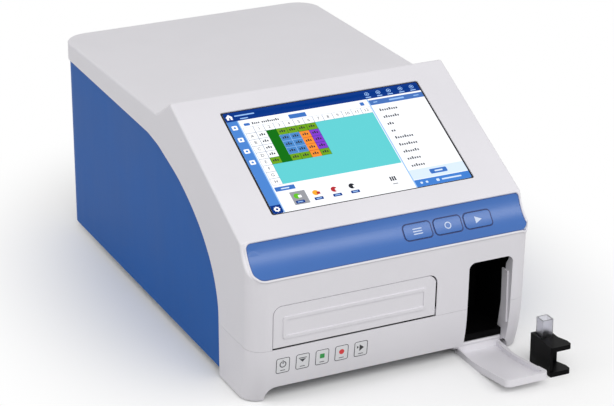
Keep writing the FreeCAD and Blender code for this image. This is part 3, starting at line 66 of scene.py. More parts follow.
COVER_LOW, COVER_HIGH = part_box("upper_cover")
GLASS_LOW, GLASS_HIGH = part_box("display_glass")
BODY_DEPTH = 0.513
MIDDLE_X = (COVER_LOW.x + COVER_HIGH.x) / 2
ZERO_Y = COVER_HIGH.y - BODY_DEPTH


# Sizes and colours that a user may change

def length(name, description, default):
    return bpy.props.FloatProperty(name=name, description=description, default=default,
                                   unit="LENGTH", precision=5)


def power(name, description, default):
    return bpy.props.FloatProperty(name=name, description=description, default=default, unit="POWER")


def turn(name, description, degrees):
    return bpy.props.FloatProperty(name=name, description=description, default=math.radians(degrees),
                                   unit="ROTATION")


def colour(name, description, default):
    return bpy.props.FloatVectorProperty(name=name, description=description, default=default,
                                         size=3, min=0.0, max=1.0, subtype="COLOR")


class ReaderColours(bpy.types.PropertyGroup):
    """Colours of the mouldings, metals and inks."""
    cover: colour("Cover", "White of the moulded covers and doors", rgb(229, 227, 232))
    panel: colour("Side panel", "Blue of the two side panels", rgb(16, 90, 170))
    band: colour("Band", "Blue of the hollow band and its buttons", rgb(38, 98, 174))
    label: colour("Key label", "Film of the touch keys", rgb(226, 226, 229))
    ink: colour("Dark ink", "Outlines of the touch keys", rgb(48, 50, 58))
    button_ink: colour("Button ink", "Symbols on the blue buttons", rgb(205, 218, 240))
    band_line: colour("Band line", "Thin line round the band", rgb(30, 68, 138))
    black: colour("Black plastic", "Liner, holder, fan and sockets", rgb(6, 6, 7))
    zinc: colour("Zinc plate", "Folded tray and rear panel", rgb(176, 178, 182))


class ReaderSizes(bpy.types.PropertyGroup):
    """Sizes of the printed and fine pieces."""
    glass_margin: length("Glass margin", "How far the glass runs on under the bezel", 0.006)
    screen_height: length("Screen height", "Opening of the bezel, up the slope", 0.1381)
    picture_left: length("Picture left", "From the left of the bezel's opening to the lit picture", 0.0027)
    picture_foot: length("Picture foot", "From the foot of the bezel's opening to the lit picture", 0.0020)
    picture_width: length("Picture width", "Width of the lit picture", 0.2159)
    picture_height: length("Picture height", "Height of the lit picture, up the slope", 0.1350)
    glass_thickness: length("Glass thickness", "Thickness of the touch glass", 0.0018)
    ink_height: length("Ink height", "Thickness of one printed layer", 0.00004)
    key_first_x: length("First key", "Middle of the first touch key", -0.1182)
    key_pitch: length("Key pitch", "Distance from key to key", 0.02085)
    key_z: length("Key height", "Height of the keys above the bench", 0.040)
    key_width: length("Key width", "Width of one key label", 0.0146)
    key_height: length("Key label height", "Height of one key label", 0.0172)
    button_first_x: length("First button", "Middle of the first push button", 0.032)
    button_pitch: length("Button pitch", "Distance from button to button", 0.0333)
    button_width: length("Button width", "Width of one push button", 0.029)
    button_height: length("Button height", "Height of one push button", 0.0154)
    button_from_foot: length("Button place", "Middle of the buttons up the band", 0.021)
    band_left: length("Band left", "From the left side of the body to the band", 0.0055)
    band_right: length("Band right", "From the right side of the body to the seen edge of the band", 0.0035)
    band_foot: length("Band foot", "From the chin to the band, along its chord", 0.0008)
    band_head: length("Band head", "From the band to the edge of the slope", 0.0014)
    band_corner: length("Band corner", "Radius of the corners of the band", 0.0045)
    band_low_corner: length("Band low corner", "Radius of the lower left corner of the band", 0.011)
    seam_line: length("Band seam", "Width of the dark line just inside the edge of the band", 0.0006)
    lip_radius: length("Lip", "Radius of the bead round the band", 0.0012)


class ReaderStage(bpy.types.PropertyGroup):
    """Camera, lamps and floor."""
    lens: bpy.props.FloatProperty(name="Lens", description="Focal length in millimetres", default=133.66)
    camera_x: length("Camera x", "From the middle of the body to the camera, to the right", -0.93616)
    camera_y: length("Camera y", "How far the camera stands behind the front of the body", -1.75704)
    camera_z: length("Camera z", "Height of the camera", 1.03217)
    pitch: turn("Pitch", "How far the camera looks down", 22.964)
    yaw: turn("Yaw", "How far the camera turns to the right", 25.559)
    sky: bpy.props.FloatProperty(name="Sky", description="Strength of the even light", default=0.42)
    key_power: power("Key lamp", "Power of the large front lamp", 24.0)
    side_power: power("Side lamp", "Power of the lamp at the left", 13.0)
    strip_power: power("Strip lamp", "Power of the long lamp at the right", 13.0)


# Shader maths

class Signal:
    """Output of a node that takes part in sums, and adds the Math nodes they need."""

    def __init__(self, graph, socket):
        self.graph = graph
        self.socket = socket

    def sum(self, operation, *values):
        return self.graph.node("ShaderNodeMath", {"operation": operation}, dict(enumerate(values)))

    def __add__(self, other):
        return self.sum("ADD", self, other)

    def __sub__(self, other):
        return self.sum("SUBTRACT", self, other)

    def __rsub__(self, other):
        return self.sum("SUBTRACT", other, self)

    def __mul__(self, other):
        return self.sum("MULTIPLY", self, other)

    def __truediv__(self, other):
        return self.sum("DIVIDE", self, other)

    def __rtruediv__(self, other):
        return self.sum("DIVIDE", other, self)

    def __pow__(self, other):
        return self.sum("POWER", self, other)

    __radd__ = __add__
    __rmul__ = __mul__

    def larger(self, other):
        return self.sum("MAXIMUM", self, other)

    def fraction(self):
        return self.sum("FRACT", self)

    def distance_from(self, value):
        return self.sum("ABSOLUTE", self - value)

    def ramp(self, low, high):
        """Smooth rise from 0 at low to 1 at high."""
        return self.graph.node("ShaderNodeMapRange", {"interpolation_type": "SMOOTHSTEP"},
                               {"Value": self, "From Min": low, "From Max": high})


class Graph:
    """Node tree of one material, with one method for every node that isn't plain maths."""

    def __init__(self, name, tree=None):
        if tree is None:
            self.material = bpy.data.materials.new(name)
            self.material.use_nodes = True
            tree = self.material.node_tree
        self.nodes = tree.nodes
        self.links = tree.links
        self.nodes.clear()

    def node(self, kind, settings=None, inputs=None, output=0):
        made = self.nodes.new(kind)
        for name, value in (settings or {}).items():
            setattr(made, name, value)
        for name, value in (inputs or {}).items():
            if isinstance(value, Signal):
                self.links.new(value.socket, made.inputs[name])
            else:
                made.inputs[name].default_value = value
        return Signal(self, made.outputs[output])

    def place(self):
        """Object coordinates, which are the frame's own metres."""
        return self.node("ShaderNodeTexCoord", output="Object")

    def axes(self, place):
        split = self.node("ShaderNodeSeparateXYZ", None, {0: place})
        return [Signal(self, split.socket.node.outputs[i]) for i in range(3)]

    def stretched(self, place, scale):
        return self.node("ShaderNodeMapping", None, {"Vector": place, "Scale": scale})

    def noise(self, place, scale, detail=2.0, roughness=0.5):
        return self.node("ShaderNodeTexNoise", None,
                         {"Vector": place, "Scale": scale, "Detail": detail, "Roughness": roughness})

    def mix(self, factor, first, second):
        """Colour between two colours."""
        return self.node("ShaderNodeMix", {"data_type": "RGBA"}, {0: factor, 6: first, 7: second}, output=2)

    def bump(self, height, distance):
        return self.node("ShaderNodeBump", None, {"Height": height, "Distance": distance, "Strength": 1.0})

    def principled(self, inputs):
        return self.node("ShaderNodeBsdfPrincipled", None, inputs)

    def output(self, shader):
        self.node_output = self.nodes.new("ShaderNodeOutputMaterial")
        self.links.new(shader.socket, self.node_output.inputs["Surface"])
        return self.material


def opaque(base):
    return (*base, 1.0)


def scaled(base, share):
    return tuple(c * share for c in base) + (1.0,)


def moulded(name, base, roughness, grain, shade=0.95, specular=0.5, grain_size=1500.0, **constants):
    """Moulded plastic: slow mottling of the colour, and a fine even grain in the gloss and relief."""
    graph = Graph(name)
    place = graph.place()
    cloud = graph.noise(place, 11.0, 3.0)
    fine = graph.noise(place, grain_size, 2.0)
    flow = graph.noise(graph.stretched(place, (60.0, 60.0, 8.0)), 1.0, 2.0)
    tint = graph.mix(cloud.ramp(0.3, 0.7), scaled(base, shade), opaque(base))
    gloss = roughness + (cloud - 0.5) * 0.10 + (fine - 0.5) * 0.08 + (flow - 0.5) * 0.05
    inputs = {"Base Color": tint, "Roughness": gloss, "Normal": graph.bump(fine, grain),
              "Specular IOR Level": specular}
    inputs.update(constants)
    return graph.output(graph.principled(inputs))


def worked_metal(name, base, roughness, direction, grain=0.000004, shade=0.86):
    """Metal with fine lines along one direction, and a few duller patches."""
    graph = Graph(name)
    place = graph.place()
    lines = graph.noise(graph.stretched(place, direction), 1.0, 4.0, 0.6)
    cloud = graph.noise(place, 25.0, 3.0)
    tint = graph.mix(lines.ramp(0.3, 0.75), scaled(base, shade), opaque(base))
    gloss = roughness + (lines - 0.5) * 0.18 + (cloud - 0.5) * 0.12
    return graph.output(graph.principled({"Base Color": tint, "Roughness": gloss, "Metallic": 1.0,
                                          "Normal": graph.bump(lines, grain)}))


def galvanised(name, base):
    """Zinc plate: angular pale and dark spangles, half metal half matt."""
    graph = Graph(name)
    place = graph.place()
    cells = graph.node("ShaderNodeTexVoronoi", None, {"Vector": place, "Scale": 120.0}, output="Color")
    cloud = graph.noise(place, 30.0, 3.0)
    spangle = graph.axes(cells)[0]
    tint = graph.mix(spangle, scaled(base, 0.82), opaque(base))
    gloss = 0.42 + (spangle - 0.5) * 0.12 + (cloud - 0.5) * 0.12
    return graph.output(graph.principled({"Base Color": tint, "Roughness": gloss, "Metallic": 0.85,
                                          "Normal": graph.bump(spangle, 0.00001)}))


def circuit(name):
    """Green solder mask over parallel copper tracks, which show a little paler."""
    graph = Graph(name)
    place = graph.place()
    x, y, z = graph.axes(place)
    bend = graph.noise(place, 60.0, 1.0)
    track = ((x * 420.0 + bend * 1.5).fraction().distance_from(0.5)).ramp(0.16, 0.22)
    cross = ((y * 260.0 - bend).fraction().distance_from(0.5)).ramp(0.30, 0.36)
    copper = track * cross
    tint = graph.mix(copper, opaque(rgb(14, 78, 44)), opaque(rgb(34, 112, 66)))
    return graph.output(graph.principled({"Base Color": tint, "Roughness": 0.36 + copper * 0.1,
                                          "Normal": graph.bump(copper, 0.00004)}))


def clear(name, base, roughness, transmission=1.0):
    """Clear moulded or polished piece with faint flow marks."""
    graph = Graph(name)
    place = graph.place()
    flow = graph.noise(graph.stretched(place, (300.0, 300.0, 40.0)), 1.0, 2.0)
    tint = graph.mix(flow, scaled(base, 0.96), opaque(base))
    return graph.output(graph.principled({"Base Color": tint, "Roughness": roughness + (flow - 0.5) * 0.06,
                                          "Transmission Weight": transmission, "IOR": 1.46}))


def touch_glass(name):
    """Black touch glass: nearly a mirror, with the faint smears of fingertips."""
    graph = Graph(name)
    place = graph.place()
    smear = graph.noise(graph.stretched(place, (30.0, 55.0, 55.0)), 1.0, 5.0, 0.65)
    tint = graph.mix(smear, opaque(rgb(8, 8, 10)), opaque(rgb(13, 13, 16)))
    gloss = 0.10 + smear.ramp(0.45, 0.8) * 0.14
    inputs = {"Base Color": tint, "Roughness": gloss, "Specular IOR Level": 0.35}
    return graph.output(graph.principled(inputs))


def printed(name, glow=0.0, roughness=0.45, specular=0.3):
    """Ink whose colour is kept at the points of the piece; a lit picture also glows in it."""
    graph = Graph(name)
    ink = graph.node("ShaderNodeAttribute", {"attribute_name": "ink"}, output="Color")
    cloud = graph.noise(graph.place(), 700.0, 2.0)
    if glow:
        body = graph.mix(0.94, ink, (0.0, 0.0, 0.0, 1.0))
        inputs = {"Base Color": body, "Emission Color": ink, "Emission Strength": glow}
    else:
        body = graph.mix(cloud * 0.12, ink, (0.5, 0.5, 0.5, 1.0))
        inputs = {"Base Color": body}
    inputs.update({"Roughness": roughness + (cloud - 0.5) * 0.08, "Specular IOR Level": specular})
    return graph.output(graph.principled(inputs))


# Outlines, in metres, counter-clockwise

def rounded_outline(left, bottom, right, top, radius, per_corner=6, per_side=1):
    """Rectangle whose corners are quarter circles, each its centre plus radius times (cos, sin).

    The radius is one, or four from the top right round. Each straight side is shared out into equal
    steps, so that it can follow a curved surface.
    """
    turn = np.linspace(0.0, math.pi / 2, per_corner)
    starts = np.array([0.0, 0.5, 1.0, 1.5]) * math.pi
    radius = np.broadcast_to(np.asarray(radius, float), 4)
    corners = np.array([[right, top], [left, top], [left, bottom], [right, bottom]])
    inwards = np.array([[-1.0, -1.0], [1.0, -1.0], [1.0, 1.0], [-1.0, 1.0]])
    centres = corners + inwards * radius[:, None]
    angle = starts[:, None] + turn[None, :]
    arcs = np.stack([np.cos(angle), np.sin(angle)], axis=-1) * radius[:, None, None] + centres[:, None, :]
    share = np.linspace(0.0, 1.0, per_side + 1)[1:-1, None]
    start = arcs[:, -1:, :]
    end = np.roll(arcs[:, :1, :], -1, axis=0)
    return np.concatenate([arcs, start + (end - start) * share], axis=1).reshape(-1, 2)


def disc_outline(x, y, radius, count=24):
    """Circle: centre plus radius times (cos, sin)."""
    angle = np.arange(count) * 2 * math.pi / count
    return np.stack([x + radius * np.cos(angle), y + radius * np.sin(angle)], axis=-1)


def gear_outline(x, y, radius, depth, teeth, per_tooth=8):
    """Toothed wheel: the radius drops by a smooth square wave of as many turns as it has teeth."""
    angle = np.arange(teeth * per_tooth) * 2 * math.pi / (teeth * per_tooth)
    reach = radius - depth * (0.5 - 0.5 * np.tanh(4.0 * np.cos(angle * teeth)))
    return np.stack([x + reach * np.cos(angle), y + reach * np.sin(angle)], axis=-1)


def corners_outline(x, y, *points):
    """Straight-sided shape through points around a centre."""
    return np.array(points) * MM + np.array([x, y])


def about(x, y, left, bottom, right, top, corner):
    """Rounded rectangle with its sides in millimetres from a point."""
    return rounded_outline(x + left * MM, y + bottom * MM, x + right * MM, y + top * MM, corner * MM)


def rim(x, y, width, height, gap, corner, per_corner, per_side):
    """Rounded rectangle about a point, smaller on each side by a gap."""
    half_x = width / 2
    half_y = height / 2
    return rounded_outline(x - half_x + gap, y - half_y + gap, x + half_x - gap, y + half_y - gap,
                           corner - gap, per_corner, per_side)


# Surfaces that carry print, as functions of two coordinates and a lift above them

# Left, foot, right and head of the sheet that the screen picture is drawn on, in millimetres
DRAWN = (1.3, 0.8, 218.9, 137.8)


SCREEN_SLOPE = math.atan(0.5)


def on_screen(a, b, lift):
    """Plane of the glass: a along x and b up the slope, both stretched to the lit picture."""
    sizes = bpy.context.scene.reader_sizes
    left, foot, right, head = DRAWN
    across = (a / MM - left) / (right - left) * sizes.picture_width
    climb = (b / MM - foot) / (head - foot) * sizes.picture_height
    up = climb + sizes.picture_foot - sizes.screen_height - sizes.glass_margin
    x = GLASS_LOW.x + sizes.glass_margin + sizes.picture_left + across
    face_y = GLASS_HIGH.y - sizes.glass_thickness * math.sin(SCREEN_SLOPE)
    y = face_y + up * math.cos(SCREEN_SLOPE) - lift * math.sin(SCREEN_SLOPE)
    z = GLASS_HIGH.z + up * math.sin(SCREEN_SLOPE) + lift * math.cos(SCREEN_SLOPE)
    return np.stack([x + 0 * y, y, z + 0 * x], axis=-1)


FRONT_RADIUS = 0.18083
FRONT_CENTRE = (0.18617, 0.06388)


def on_front(a, b, lift):
    """Lower front: an upright circle of large radius; y is its centre less the root of r2 - (z - centre)2."""
    radius = FRONT_RADIUS + lift
    y = FRONT_CENTRE[0] - np.sqrt(radius ** 2 - (b - FRONT_CENTRE[1]) ** 2)
    return np.stack([MIDDLE_X + a + 0 * y, ZERO_Y + y, b + 0 * y], axis=-1)


BAND_FOOT = np.array([0.0016, 0.134])
BAND_HEAD = np.array([0.028, 0.1647])
BAND_SAG = 0.0056


def on_band(a, b, lift):
    """Hollow of the band: b runs up its chord, and the depth is the circle's height over that chord."""
    rise = BAND_HEAD - BAND_FOOT
    chord = np.hypot(*rise)
    along = rise / chord
    inward = np.array([along[1], -along[0]])
    radius = (chord ** 2 / 4 + BAND_SAG ** 2) / (2 * BAND_SAG)
    depth = np.sqrt((radius - lift) ** 2 - (b - chord / 2) ** 2) - (radius - BAND_SAG)
    y = BAND_FOOT[0] + b * along[0] + depth * inward[0]
    z = BAND_FOOT[1] + b * along[1] + depth * inward[1]
    return np.stack([MIDDLE_X + a + 0 * y, ZERO_Y + y, z], axis=-1)


# Front of the body at the foot of the band, and its rounded upright corners
CORNER_RADIUS = 0.018
HALF_WIDTH = 0.152
FRONT_Y = 0.0022
FRONT_RAKE = 0.0436
CHIN_Z = 0.132
NEARLY_ALL = 0.999


def on_band_edge(a, b, lift):
    """Band, or the rounded front corner where that lies deeper along the normal of the chord.

    The corner stands back from the front by r - sqrt(r2 - e2), where e runs from the corner's centre.
    """
    rise = BAND_HEAD - BAND_FOOT
    along = rise / np.hypot(*rise)
    inward = np.array([along[1], -along[0]])
    flush = on_band(a, b, 0.0 * a)
    past = np.clip(np.abs(a) - (HALF_WIDTH - CORNER_RADIUS), 0.0, CORNER_RADIUS * NEARLY_ALL)
    back = CORNER_RADIUS - np.sqrt(CORNER_RADIUS ** 2 - past ** 2)
    front = ZERO_Y + FRONT_Y + (CHIN_Z - flush[:, 2]) * FRONT_RAKE + back
    deeper = np.clip(front - flush[:, 1], 0.0, None) / (inward[0] + FRONT_RAKE * inward[1])
    run = deeper - lift
    flush[:, 1] += run * inward[0]
    flush[:, 2] += run * inward[1]
    return flush


# Points of a letter closer than this are one point
WELD = 1e-7


class Print:
    """Thin closed plates and rings on one surface, gathered as arrays and made into one mesh."""

    def __init__(self, surface):
        self.surface = surface
        self.points = []
        self.faces = []
        self.inks = []
        self.count = 0

    def add(self, points, faces, ink):
        self.points.append(points)
        self.faces.extend((faces_of + self.count).tolist() for faces_of in faces)
        self.inks.append(np.tile(np.array(opaque(ink)), (len(points), 1)))
        self.count += len(points)

    def bead(self, outline, radius, ink, up, per_ring=12):
        """Round tube along a closed line: each point plus radius times (cos across, sin square to both).

        Across is square to the line and to a fixed direction, up, that the line never runs along.
        """
        line = self.surface(outline[:, 0], outline[:, 1], np.zeros(len(outline)))
        along = np.roll(line, -1, axis=0) - np.roll(line, 1, axis=0)
        along = along / np.linalg.norm(along, axis=1, keepdims=True)
        across = np.cross(along, up)
        across = across / np.linalg.norm(across, axis=1, keepdims=True)
        square = np.cross(across, along)
        angle = (np.arange(per_ring) * 2 * math.pi / per_ring)[None, :, None]
        reach = np.cos(angle) * across[:, None, :] + np.sin(angle) * square[:, None, :]
        spots = line[:, None, :] + radius * reach
        row, column = np.meshgrid(np.arange(len(outline)), np.arange(per_ring), indexing="ij")
        ahead = (row + 1) % len(outline)
        turn = (column + 1) % per_ring
        quads = np.stack([row * per_ring + column, ahead * per_ring + column, ahead * per_ring + turn,
                          row * per_ring + turn], axis=-1).reshape(-1, 4)
        self.add(spots.reshape(-1, 3), [*quads], ink)

    def plate(self, outline, ink, low, high):
        """Outline carried from one lift to another, closed by fans about its middle."""
        n = len(outline)
        loop = np.vstack([outline, outline, outline.mean(axis=0), outline.mean(axis=0)])
        lift = np.concatenate([np.full(n, low), np.full(n, high), [low, high]])
        here = np.arange(n)
        after = np.roll(here, -1)
        sides = np.stack([here, after, after + n, here + n], axis=-1)
        lower = np.stack([after, here, np.full(n, 2 * n)], axis=-1)
        upper = np.stack([here + n, after + n, np.full(n, 2 * n + 1)], axis=-1)
        self.add(self.surface(loop[:, 0], loop[:, 1], lift), [*sides, *lower, *upper], ink)

    def ring(self, outer, inner, ink, low, high):
        """Band between two outlines: four loops, joined in turn and back to the first."""
        n = len(outer)
        loops = np.vstack([outer, outer, inner, inner])
        lift = np.repeat([low, high, high, low], n)
        row, column = np.meshgrid(np.arange(4), np.arange(n), indexing="ij")
        following = (column + 1) % n
        above = (row + 1) % 4
        quads = np.stack([row * n + column, row * n + following, above * n + following, above * n + column],
                         axis=-1).reshape(-1, 4)
        self.add(self.surface(loops[:, 0], loops[:, 1], lift), [*quads], ink)

    def letters(self, text, x, y, height, ink, low, high):
        """Digits or single letters of the built-in face, centred on a point."""
        curve = bpy.data.curves.new("letters", "FONT")
        curve.body = text
        curve.size = height
        curve.align_x = "CENTER"
        curve.align_y = "CENTER"
        curve.resolution_u = 2
        curve.extrude = (high - low) / 2
        holder = bpy.data.objects.new("letters", curve)
        flat = bpy.data.meshes.new_from_object(holder)
        work = bmesh.new()
        work.from_mesh(flat)
        bmesh.ops.remove_doubles(work, verts=work.verts, dist=WELD)
        bmesh.ops.recalc_face_normals(work, faces=work.faces)
        work.to_mesh(flat)
        work.free()
        spots = np.zeros(len(flat.vertices) * 3, np.float32)
        flat.vertices.foreach_get("co", spots)
        spots = spots.reshape(-1, 3).astype(float)
        faces = [np.array(face.vertices) for face in flat.polygons]
        lift = (low + high) / 2 + spots[:, 2]
        self.add(self.surface(x + spots[:, 0], y + spots[:, 1], lift), faces, ink)
        bpy.data.objects.remove(holder)
        bpy.data.curves.remove(curve)
        bpy.data.meshes.remove(flat)

    def make(self, name, body, material):
        mesh = bpy.data.meshes.new(name)
        mesh.from_pydata(np.concatenate(self.points), [], self.faces)
        ink = mesh.attributes.new("ink", "FLOAT_COLOR", "POINT")
        ink.data.foreach_set("color", np.concatenate(self.inks).astype(np.float32).ravel())
        mesh.validate()
        mesh.update()
        piece = bpy.data.objects.new(name, mesh)
        piece.data.materials.append(material)
        bpy.context.scene.collection.objects.link(piece)
        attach(piece, body)
        return piece


# Screen picture: left, bottom, right, top and corner in millimetres, ink and layer

INKS = {
    "page": rgb(247, 249, 253), "cell": rgb(250, 252, 255), "white": rgb(252, 253, 255),
    "navy": rgb(0, 51, 131), "side": rgb(74, 130, 205), "tab": rgb(60, 112, 190), "list": rgb(70, 112, 182),
    "status": rgb(65, 125, 205), "foot": rgb(214, 230, 249), "sky": rgb(150, 190, 240),
    "teal": rgb(95, 202, 206), "pine": rgb(10, 108, 12), "olive": rgb(108, 160, 26),
    "blue": rgb(72, 132, 196), "orange": rgb(242, 142, 48), "purple": rgb(128, 58, 200),
    "leaf": rgb(96, 190, 40), "red": rgb(178, 44, 52), "amber": rgb(240, 168, 48),
    "line": rgb(104, 118, 146), "grey": rgb(150, 152, 158), "mark": rgb(66, 68, 76), "dark": rgb(42, 44, 52),
}

PATCHES = (
    (1.3, 0.8, 218.9, 137.8, 2.0, "page", 0),
    (1.3, 130.0, 218.9, 137.8, 2.0, "navy", 1), (1.3, 125.8, 218.9, 134.0, 0.1, "navy", 1),
    (1.3, 11.6, 12.4, 125.8, 0.1, "side", 1),
    (1.3, 0.8, 12.4, 9.0, 2.0, "navy", 1), (1.3, 4.0, 12.4, 11.6, 0.1, "navy", 1),
    (12.4, 0.8, 13.6, 125.8, 0.1, "sky", 1), (156.4, 0.8, 157.7, 125.8, 0.1, "sky", 1),
    (17.5, 117.6, 24.0, 121.0, 1.2, "tab", 1),
    (67.0, 117.0, 86.0, 122.8, 0.8, "tab", 1), (147.0, 118.2, 151.4, 122.8, 0.6, "tab", 1),
    (157.7, 116.6, 218.9, 123.6, 0.1, "list", 1), (180.0, 119.2, 197.0, 121.2, 0.6, "sky", 2),
    (162.0, 119.6, 166.4, 120.8, 0.4, "sky", 2), (208.0, 119.6, 214.0, 120.8, 0.4, "sky", 2),
    (157.7, 11.0, 218.9, 23.8, 0.1, "foot", 1), (179.2, 14.6, 198.2, 20.8, 1.2, "tab", 2),
    (184.4, 16.8, 193.4, 18.6, 0.6, "foot", 3),
    (157.7, 0.8, 216.0, 10.2, 0.1, "status", 1), (212.0, 2.8, 218.9, 10.2, 0.1, "status", 1),
    (212.0, 0.8, 218.9, 8.0, 2.0, "status", 1),
    (187.0, 4.8, 209.0, 6.6, 0.6, "foot", 2), (163.0, 4.4, 165.6, 7.0, 0.9, "foot", 2),
    (169.0, 4.4, 171.6, 7.0, 0.9, "foot", 2), (181.0, 4.0, 184.2, 7.4, 0.9, "foot", 2),
    (14.8, 27.6, 36.0, 33.2, 0.6, "tab", 1), (21.0, 29.6, 30.0, 31.0, 0.5, "foot", 2),
    (12.4, 131.8, 34.0, 133.4, 0.5, "sky", 2), (17.0, 127.4, 25.5, 128.8, 0.5, "sky", 2),
)

GRID_LEFT = 14.8
GRID_TOP = 115.6
GRID_HEAD = 8.5
GRID_COLUMN = 10.83
GRID_ROW = 8.92
GRID_COLUMNS = 13
GRID_ROWS = 8
GRID_GAP = 0.25
GRID_LETTERS = 5.4
SHARP = 0.1

# Coloured blocks of wells: first and last column, first and last row, ink
WELL_BLOCKS = ((1, 1, 1, 4, "cell"), (2, 2, 1, 5, "pine"), (3, 6, 1, 1, "olive"), (1, 1, 5, 5, "olive"),
               (3, 4, 5, 5, "olive"), (6, 6, 5, 5, "olive"), (3, 4, 2, 4, "blue"), (5, 5, 2, 5, "orange"),
               (6, 6, 2, 4, "purple"))

# Ink of the thin edge that shows round each well of a block
EDGES = {"cell": "line", "pine": "pine", "olive": "pine", "blue": "sky", "orange": "red", "purple": "navy"}

# Rows of the list at the right, and how many blocks each holds
LIST_LEFT = 164.0
LIST_TOP = 108.2
LIST_PITCH = 9.9
LIST_LENGTHS = (8, 7, 3, 2, 8, 8, 7, 6, 6)

# Shares of the height of a row of blocks
BLOCK_PITCH = 0.72
BLOCK_WIDTH = 0.62
TALL = 0.66
SHORT = 0.34


def patch(sheet, row, step):
    left, bottom, right, top, corner, ink, layer = row
    outline = rounded_outline(left * MM, bottom * MM, right * MM, top * MM, corner * MM)
    sheet.plate(outline, INKS[ink], layer * step + step * 0.1, (layer + 1) * step)


def dot(sheet, x, y, radius, ink, layer, step):
    sheet.plate(disc_outline(x * MM, y * MM, radius * MM), INKS[ink], layer * step + step * 0.1,
                (layer + 1) * step)


def word(sheet, left, middle, count, height, ink, layer, step):
    """Row of small blocks, a few of them taller, that looks like print from afar and spells nothing."""
    pitch = height * BLOCK_PITCH
    for i in range(count):
        rise = TALL if (i * 5 + count) % 4 == 0 else SHORT
        patch(sheet, (left + pitch * i, middle - height * SHORT, left + pitch * (i + BLOCK_WIDTH),
                      middle + height * rise, 0.2, ink, layer), step)


# Places of the icons, in millimetres
HOUSE_PLACE = (6.5, 131.6)
HOUSE = ((3.0, -3.2), (3.0, 0.2), (3.8, 0.2), (0.0, 4.0), (-3.8, 0.2), (-3.0, 0.2), (-3.0, -3.2))
RING_XS = (159.8, 172.8, 184.8, 198.2, 211.2)
RING_Y = 132.6
TILE_X = 6.9
TILE_YS = (117.0, 100.4, 84.6, 69.4)
GEAR_Y = 6.2
BAR_XS = (134.4, 136.8, 139.2)
ICON_Y = 17.8

# Icons under the grid: place, ink of the disc and ink of its mark
ICONS = ((33.6, "leaf", "white"), (53.6, "amber", "red"), (73.6, "red", "white"), (93.0, "dark", "white"))


def icons_of_bars(sheet, step):
    """House and rings of the top bar, tiles and toothed wheel of the left bar."""
    x, y = HOUSE_PLACE
    sheet.plate(corners_outline(x * MM, y * MM, *HOUSE), INKS["white"], step * 2.1, step * 3)
    patch(sheet, (x - 0.8, y - 3.2, x + 0.8, y - 0.4, 0.2, "navy", 3), step)
    for x in RING_XS:
        outer = disc_outline(x * MM, RING_Y * MM, 2.5 * MM)
        inner = disc_outline(x * MM, RING_Y * MM, 1.9 * MM)
        sheet.ring(outer, inner, INKS["sky"], step * 2.1, step * 3)
        patch(sheet, (x - 1.0, RING_Y - 0.7, x + 1.0, RING_Y + 0.7, 0.3, "sky", 2), step)
        patch(sheet, (x - 3.0, RING_Y - 5.3, x + 3.0, RING_Y - 4.0, 0.4, "sky", 2), step)
    for y in TILE_YS:
        patch(sheet, (TILE_X - 2.9, y - 2.9, TILE_X + 2.9, y + 2.9, 1.0, "white", 2), step)
        dot(sheet, TILE_X, y, 1.3, "side", 3, step)
    gear = gear_outline(TILE_X * MM, GEAR_Y * MM, 3.4 * MM, 0.7 * MM, 8)
    sheet.plate(gear, INKS["white"], step * 2.1, step * 3)
    dot(sheet, TILE_X, GEAR_Y, 1.3, "navy", 3, step)


def icons_under_grid(sheet, step):
    """Four icons on tiles, each over its label, and a sign of three bars."""
    patch(sheet, (27.0, 7.0, 43.2, 23.9, 0.4, "grey", 1), step)
    for x, ink, mark in ICONS:
        if ink != "leaf":
            patch(sheet, (x - 4.4, ICON_Y - 4.2, x + 4.8, ICON_Y + 4.4, 0.6, "cell", 1), step)
        dot(sheet, x - 0.6, ICON_Y, 3.4, ink, 2, step)
        patch(sheet, (x + 0.4, ICON_Y - 2.4, x + 4.0, ICON_Y + 0.8, 0.5, mark, 3), step)
        patch(sheet, (x - 4.6, 8.4, x + 4.8, 12.0, 0.6, "navy", 2), step)
        patch(sheet, (x - 2.8, 9.6, x + 3.0, 10.8, 0.4, "sky", 3), step)
    for x in BAR_XS:
        patch(sheet, (x, 14.8, x + 1.6, 20.4, 0.3, "dark", 1), step)
    patch(sheet, (134.8, 10.2, 140.6, 11.4, 0.4, "grey", 1), step)


def cell(sheet, left, bottom, height, ink, layer, step):
    """One cell of the grid, inside the lines round it."""
    patch(sheet, (left + GRID_GAP, bottom + GRID_GAP, left + GRID_COLUMN - GRID_GAP,
                  bottom + height - GRID_GAP, SHARP, ink, layer), step)


def head_letter(sheet, text, left, middle, step):
    sheet.letters(text, (left + GRID_COLUMN / 2) * MM, middle * MM, GRID_LETTERS * MM, INKS["dark"],
                  step * 3.1, step * 4)


